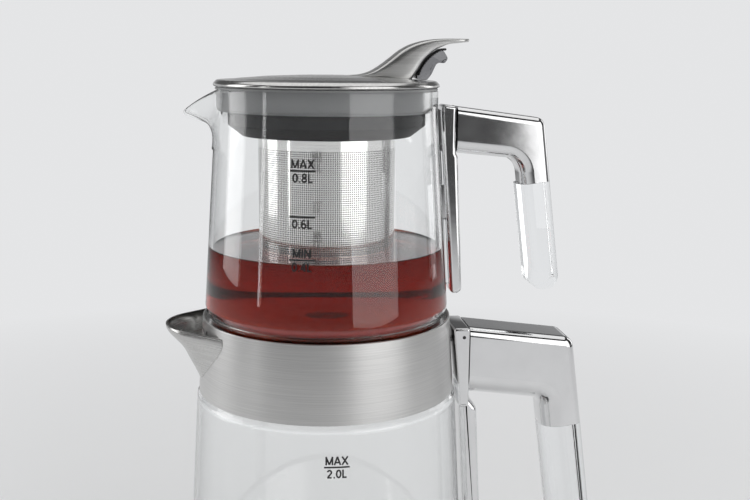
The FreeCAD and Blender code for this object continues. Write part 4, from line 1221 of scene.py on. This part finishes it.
@dataclass
class Kettle:
    """The glass body, its collar, spout, handle and foot."""

    shop: Workshop
    foot: float = 44.0
    foot_radius: float = 76.1
    cone: float = 155.5
    taper: float = 9.0
    shoulder: float = 197.5
    neck_radius: float = 62.2
    neck_top: float = 213.0
    wall: float = 2.2
    mark_below_collar: float = 57.5
    block_half: float = 14.0
    strip_half: float = 10.0
    pin_place: tuple[float, float] = (70.2, 226.0)

    def radius_at(self, height: Any) -> Any:
        """Outer radius of the cone, which shrinks evenly upwards."""
        return self.foot_radius - self.taper * (np.asarray(height, float) - self.foot) / self.cone

    def spine(self) -> None:
        """Makes the spine's block on the collar, its strip down the glass and the small pin in its side."""
        block = Shapes.line([(68.3, 188.4, 1.3), (73.4, 188.4, 1.3), (73.4, 230.8, 1.5), (64.6, 230.8, 1.5),
                             (67.7, 198.8)], closed=True)
        strip = Shapes.line([(79.5, 30.0, 3.1), (88.0, 30.0, 3.1), (78.9, 186.0, 5.0), (74.0, 192.0, 3.1),
                             (69.9, 192.0)], closed=True)
        block = Shapes.slab(Shapes.spread(block, 5.0), self.block_half, 1.2)
        upper = Shapes.mesh("kettle_spine_block", block, caps=True)
        self.shop.fit(upper, "kettle", BRIGHT, "kettle_handle_spine")
        strip = Shapes.slab(Shapes.spread(strip, 5.0), self.strip_half, 2.8)
        self.shop.fit(Shapes.mesh("kettle_spine_strip", strip, caps=True), "kettle", BRIGHT)
        dot = Shapes.turned(Shapes.line([(0, 0.03), (0.45, 0.03, 0.1), (0.65, 0.09, 0.05), (0.9, 0.03),
                                         (0.9, -0.3), (0, -0.3)]), 24)
        along, height = self.pin_place
        pin = [along + dot[:, :, 0], -self.block_half - dot[:, :, 2], height + dot[:, :, 1]]
        self.shop.fit(Shapes.mesh("spine_pin", np.stack(pin, axis=2)), "kettle", PRINT)

    def glass(self) -> np.ndarray:
        """The wall's closed section, turned: outside up the cone and the neck, and down again inside.

        Returns:
            Grid of directions by section.
        """
        foot, neck, inner = self.foot_radius, self.neck_radius, self.neck_radius - self.wall
        edge = foot - self.taper
        wall = Shapes.line([(foot, self.foot), (edge, self.shoulder, 2.5), (neck, self.shoulder + 4.4, 2.5),
                            (neck, self.neck_top, 0.8), (inner, self.neck_top, 0.8),
                            (inner, self.shoulder + 3.4, 3.5), (edge - self.wall, self.shoulder - 2.0, 3.0),
                            (foot - self.wall, self.foot)])
        return Shapes.turned(Shapes.spread(wall, 6.0), 180)

    def build(self) -> None:
        """Makes the glass, the fill line and the spine, and dresses the rest."""
        shop = self.shop
        glass = Shapes.mesh("kettle_glass_wall", self.glass(), round_second=True)
        shop.fit(glass, "kettle", GLASS, "kettle_glass")
        marks = Marks(shop, "kettle", self.radius_at, -90.0)
        marks.build("kettle_mark", Level.KETTLE_MAX, COLLAR_TOP - self.mark_below_collar)
        shop.dress(BRUSHED, "collar", "kettle_skirt")
        shop.dress(SATIN, "seat_ring", "heating_plate", "kettle_spout")
        self.spine()
        shop.dress(BRIGHT, "kettle_handle_arm")
        shop.dress(ACRYLIC, "kettle_handle_grip")
        shop.dress(SCREW, "kettle_handle_screws", "kettle_bottom_screws")
        shop.dress(BLACK, "kettle_bottom", "kettle_connector")
        shop.dress(GASKET, "glass_seal", "collar_seal")
        shop.dress(Moulded("cast_heater", "aluminium_heater", (0.5, 0.5, 0.5), 0.5), "heating_element")
        shop.dress(Moulded("sensor_body", "white_plastic", (0.62, 0.61, 0.57), 0.45), "thermostat")


@dataclass
class PowerBase:
    """The round base with its control panel."""

    shop: Workshop
    top: float = 20.0
    proud: float = 1.2
    button_line: float = -99.0
    pitch: float = 25.0
    stroke: float = 0.6

    def signs(self) -> None:
        """Prints small generic signs on the buttons: steam, a cup and a drop."""
        curve = Shapes.curve
        wisp = curve([(-0.5, -2.5), (0.5, -0.8), (-0.5, 0.8), (0.5, 2.5)], 16)
        steam = [wisp + (x, 0) for x in (-2, 0, 2)]
        cup = [curve([(-2.8, 1.8), (-2.5, -0.8), (-1.4, -1.9), (0.6, -1.9), (1.7, -0.8), (2.0, 1.8)], 24),
               np.array([(-2.9, 1.8), (2.1, 1.8)]),
               curve([(1.9, 1.2), (3.3, 0.9), (3.0, -0.4), (1.7, -0.7)], 12)]
        drop = [curve([(0.0, 3.0), (1.5, 0.6), (1.7, -1.2), (0.9, -2.4), (-0.9, -2.4), (-1.7, -1.2),
                       (-1.5, 0.6), (0.0, 3.0)], 32)]
        for body, place, lines in (("boil_key", -1, steam), ("brew_key", 0, cup), ("warm_key", 1, drop)):
            sheet = Sheet()
            for line in lines:
                sheet.ribbon(line, self.stroke)

            def lay(across: np.ndarray, up: np.ndarray) -> np.ndarray:
                """Puts the sign on its button's face."""
                level = np.full(len(up), self.top + self.proud + 0.04)
                return np.stack([across + place * self.pitch, up + self.button_line, level], axis=1)

            sign = sheet.piece("sign_" + body, lay)
            self.shop.fit(sign, body, Ink("pale_print", "white_plastic", (0.7, 0.7, 0.68)))

    def build(self) -> None:
        """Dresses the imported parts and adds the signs."""
        shop = self.shop
        shop.dress(BLACK, "base_tray", "base_cover", "cord_plate")
        shop.dress(BLACK, "base_socket", "key_switches", "board_parts")
        keys = Moulded("key_grey", "button_grey", (0.16, 0.16, 0.165), 0.3, 1600.0, 0.00004, 0.3)
        shop.dress(keys, "button_boil", "button_brew", "button_warm")
        shop.dress(GASKET, "socket_ring")
        shop.dress(RUBBER, "base_feet", "cord_gland")
        shop.dress(SCREW, "base_screws")
        shop.dress(ACRYLIC, "indicator_windows")
        shop.dress(Polished("contact_brass", (0.72, 0.52, 0.22), 0.18, "brass_contact"), "socket_contacts")
        board = Moulded("lacquered_board", "board_green", (0.02, 0.16, 0.06), 0.35, 400.0, 0.00003, 0.4)
        shop.dress(board, "circuit_board")
        self.signs()


@dataclass
class Studio:
    """The camera, the pale floor and the soft lights."""

    pitch: float = 10.8
    yaw: float = 6.77
    roll: float = 0.547
    distance: float = 512.4
    height: float = 368.2
    bearing: float = 4.0
    focal: float = 1014.4 / 750
    floor_tone: Triple = (0.79, 0.795, 0.80)
    tone: Triple = (0.78, 0.785, 0.795)
    fill: float = 0.42
    table_share: float = 0.85
    far_share: float = 0.08
    front_share: float = 0.18
    back_share: float = 0.85

    def camera(self) -> None:
        """Places the camera as the photograph's perspective shows; its focal length is in picture widths."""
        pitch, yaw, roll = (math.radians(a) for a in (self.pitch, self.yaw, self.roll))
        ahead = Vector((math.sin(yaw) * math.cos(pitch), math.cos(yaw) * math.cos(pitch), -math.sin(pitch)))
        right = ahead.cross(Vector((0, 0, 1))).normalized()
        up = right.cross(ahead)
        across = right * math.cos(roll) + up * math.sin(roll)
        rise = up * math.cos(roll) - right * math.sin(roll)
        side = math.radians(self.bearing)
        place = Vector((-self.distance * math.sin(side), -self.distance * math.cos(side), self.height)) * MM
        data = bpy.data.cameras.new("camera")
        data.sensor_width = 36.0
        data.lens = self.focal * data.sensor_width
        data.clip_start = 0.01
        eye = bpy.data.objects.new("camera", data)
        eye.matrix_world = Matrix.Translation(place) @ Matrix((across, rise, -ahead)).transposed().to_4x4()
        bpy.context.scene.collection.objects.link(eye)
        bpy.context.scene.camera = eye

    def lamp(self, name: str, place: Triple, size: tuple[float, float], power: float,
             aim: float = 0.24) -> None:
        """Adds a soft panel of light.

        Args:
            name: its name.
            place: its middle, in metres.
            size: its width and height in metres.
            power: watts.
            aim: the height on the axis that it faces.
        """
        data = bpy.data.lights.new(name, "AREA")
        data.shape = "RECTANGLE"
        data.size, data.size_y = size
        data.energy = power
        lamp = bpy.data.objects.new(name, data)
        lamp.location = place
        lamp.rotation_euler = (Vector((0, 0, aim)) - Vector(place)).to_track_quat("-Z", "Y").to_euler()
        bpy.context.scene.collection.objects.link(lamp)

    @staticmethod
    def rays(paint: Paint) -> tuple[Term, Term]:
        """Tells what the eye or glass looks at from what a surface mirrors.

        Args:
            paint: the tree to add to.

        Returns:
            One for camera and transmitted rays, and one for mirrored rays.
        """
        outs = paint.add("ShaderNodeLightPath", {}, {}).socket.node.outputs
        through = Term(paint, outs["Is Transmission Ray"])
        shown = Term(paint, outs["Is Camera Ray"]).larger(through)
        return shown, Term(paint, outs["Is Glossy Ray"]) * (1.0 - through)

    def floor(self) -> None:
        """A wide pale disc under the object.

        Near the object it is plain paint, which keeps the shadow. With the distance from the axis it turns,
        for the eye and in reflections, into the surround's own tone, so that no horizon shows. What surfaces
        mirror of it is a pale table that ends in a dim room.
        """
        profile = np.stack([np.linspace(0.0, 9000.0, 19), np.zeros(19)], axis=1)
        floor = Shapes.mesh("studio_floor", Shapes.turned(profile, 64))
        paint = Paint("floor_paint", "white_plastic")
        grain = paint.noise(20.0)
        colour = paint.tint(self.floor_tone, tuple(min(1.0, c + 0.01) for c in self.floor_tone), grain)
        matt = paint.body(Base_Color=colour, Roughness=0.65, Specular_IOR_Level=0.2)
        along, across, _ = paint.parts_of(paint.object_place())
        reach = (along * along + across * across).power(0.5)
        shown, mirrored = self.rays(paint)
        table = self.table_share - reach.unit(1.2, 2.0) * (self.table_share - self.far_share)
        strength = 1.0 - mirrored * (1.0 - table)
        glow = paint.add("ShaderNodeEmission", {}, {"Color": (*self.tone, 1.0), "Strength": strength})
        share = reach.unit(0.3, 1.0) * shown.larger(mirrored)
        mixed = paint.add("ShaderNodeMixShader", {}, {0: share, 1: matt, 2: glow})
        floor.data.materials.append(paint.finish(mixed))
        floor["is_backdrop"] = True

    def sky(self) -> None:
        """An even pale surround for the eye and through glass, a softer one as a light.

        What surfaces mirror is a studio with a pale back wall, dim behind the camera and towards the ceiling.
        """
        world = bpy.data.worlds.new("surround")
        bpy.context.scene.world = world
        world.use_nodes = True
        paint = Paint.of_tree(world.node_tree, "ShaderNodeOutputWorld")
        seen, mirror = self.rays(paint)
        _, back, rise = paint.parts_of(paint.add("ShaderNodeTexCoord", {}, {}, "Generated"))
        wall = back.unit(-0.1, 0.7) * (self.back_share - self.front_share) + self.front_share
        share = wall * (1.0 - rise.unit(0.06, 0.24) * 0.85)
        light = paint.add("ShaderNodeBackground", {}, {"Color": (1.0, 1.0, 1.0, 1.0), "Strength": self.fill})
        mirrored = paint.add("ShaderNodeBackground", {}, {"Color": (*self.tone, 1.0), "Strength": share})
        shown = paint.add("ShaderNodeBackground", {}, {"Color": (*self.tone, 1.0), "Strength": 1.0})
        lit = paint.add("ShaderNodeMixShader", {}, {0: mirror, 1: light, 2: mirrored})
        paint.finish(paint.add("ShaderNodeMixShader", {}, {0: seen, 1: lit, 2: shown}))

    def build(self) -> None:
        """Sets everything up."""
        bpy.context.scene.view_settings.view_transform = "Standard"
        self.camera()
        self.floor()
        self.sky()
        self.lamp("key_panel", (0.85, -0.95, 0.64), (1.2, 1.28), 7.4)
        self.lamp("left_panel", (-1.25, 0.33, 0.6), (0.6, 1.1), 4.2)
        self.lamp("left_strip", (-1.2, -0.48, 0.6), (0.05, 1.1), 0.9)
        self.lamp("right_panel", (1.25, 0.7, 0.6), (0.4, 1.1), 2.0)
        self.lamp("top_panel", (0.0, 0.25, 1.5), (1.8, 1.4), 7.5, 0.2)


def corners() -> list[list[float]]:
    """The object's box as plain lists."""
    return [[float(v) for v in corner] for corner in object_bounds()]


def main() -> None:
    """Builds the classes in order."""
    logging.basicConfig(level=logging.INFO, format="%(name)s: %(message)s")
    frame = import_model()
    shop = Workshop(frame["nodes"])
    Studio().build()
    Teapot(shop).build()
    Strainer(shop).build()
    Lid(shop).build()
    Kettle(shop).build()
    PowerBase(shop).build()


if __name__ == "__main__":
    main()
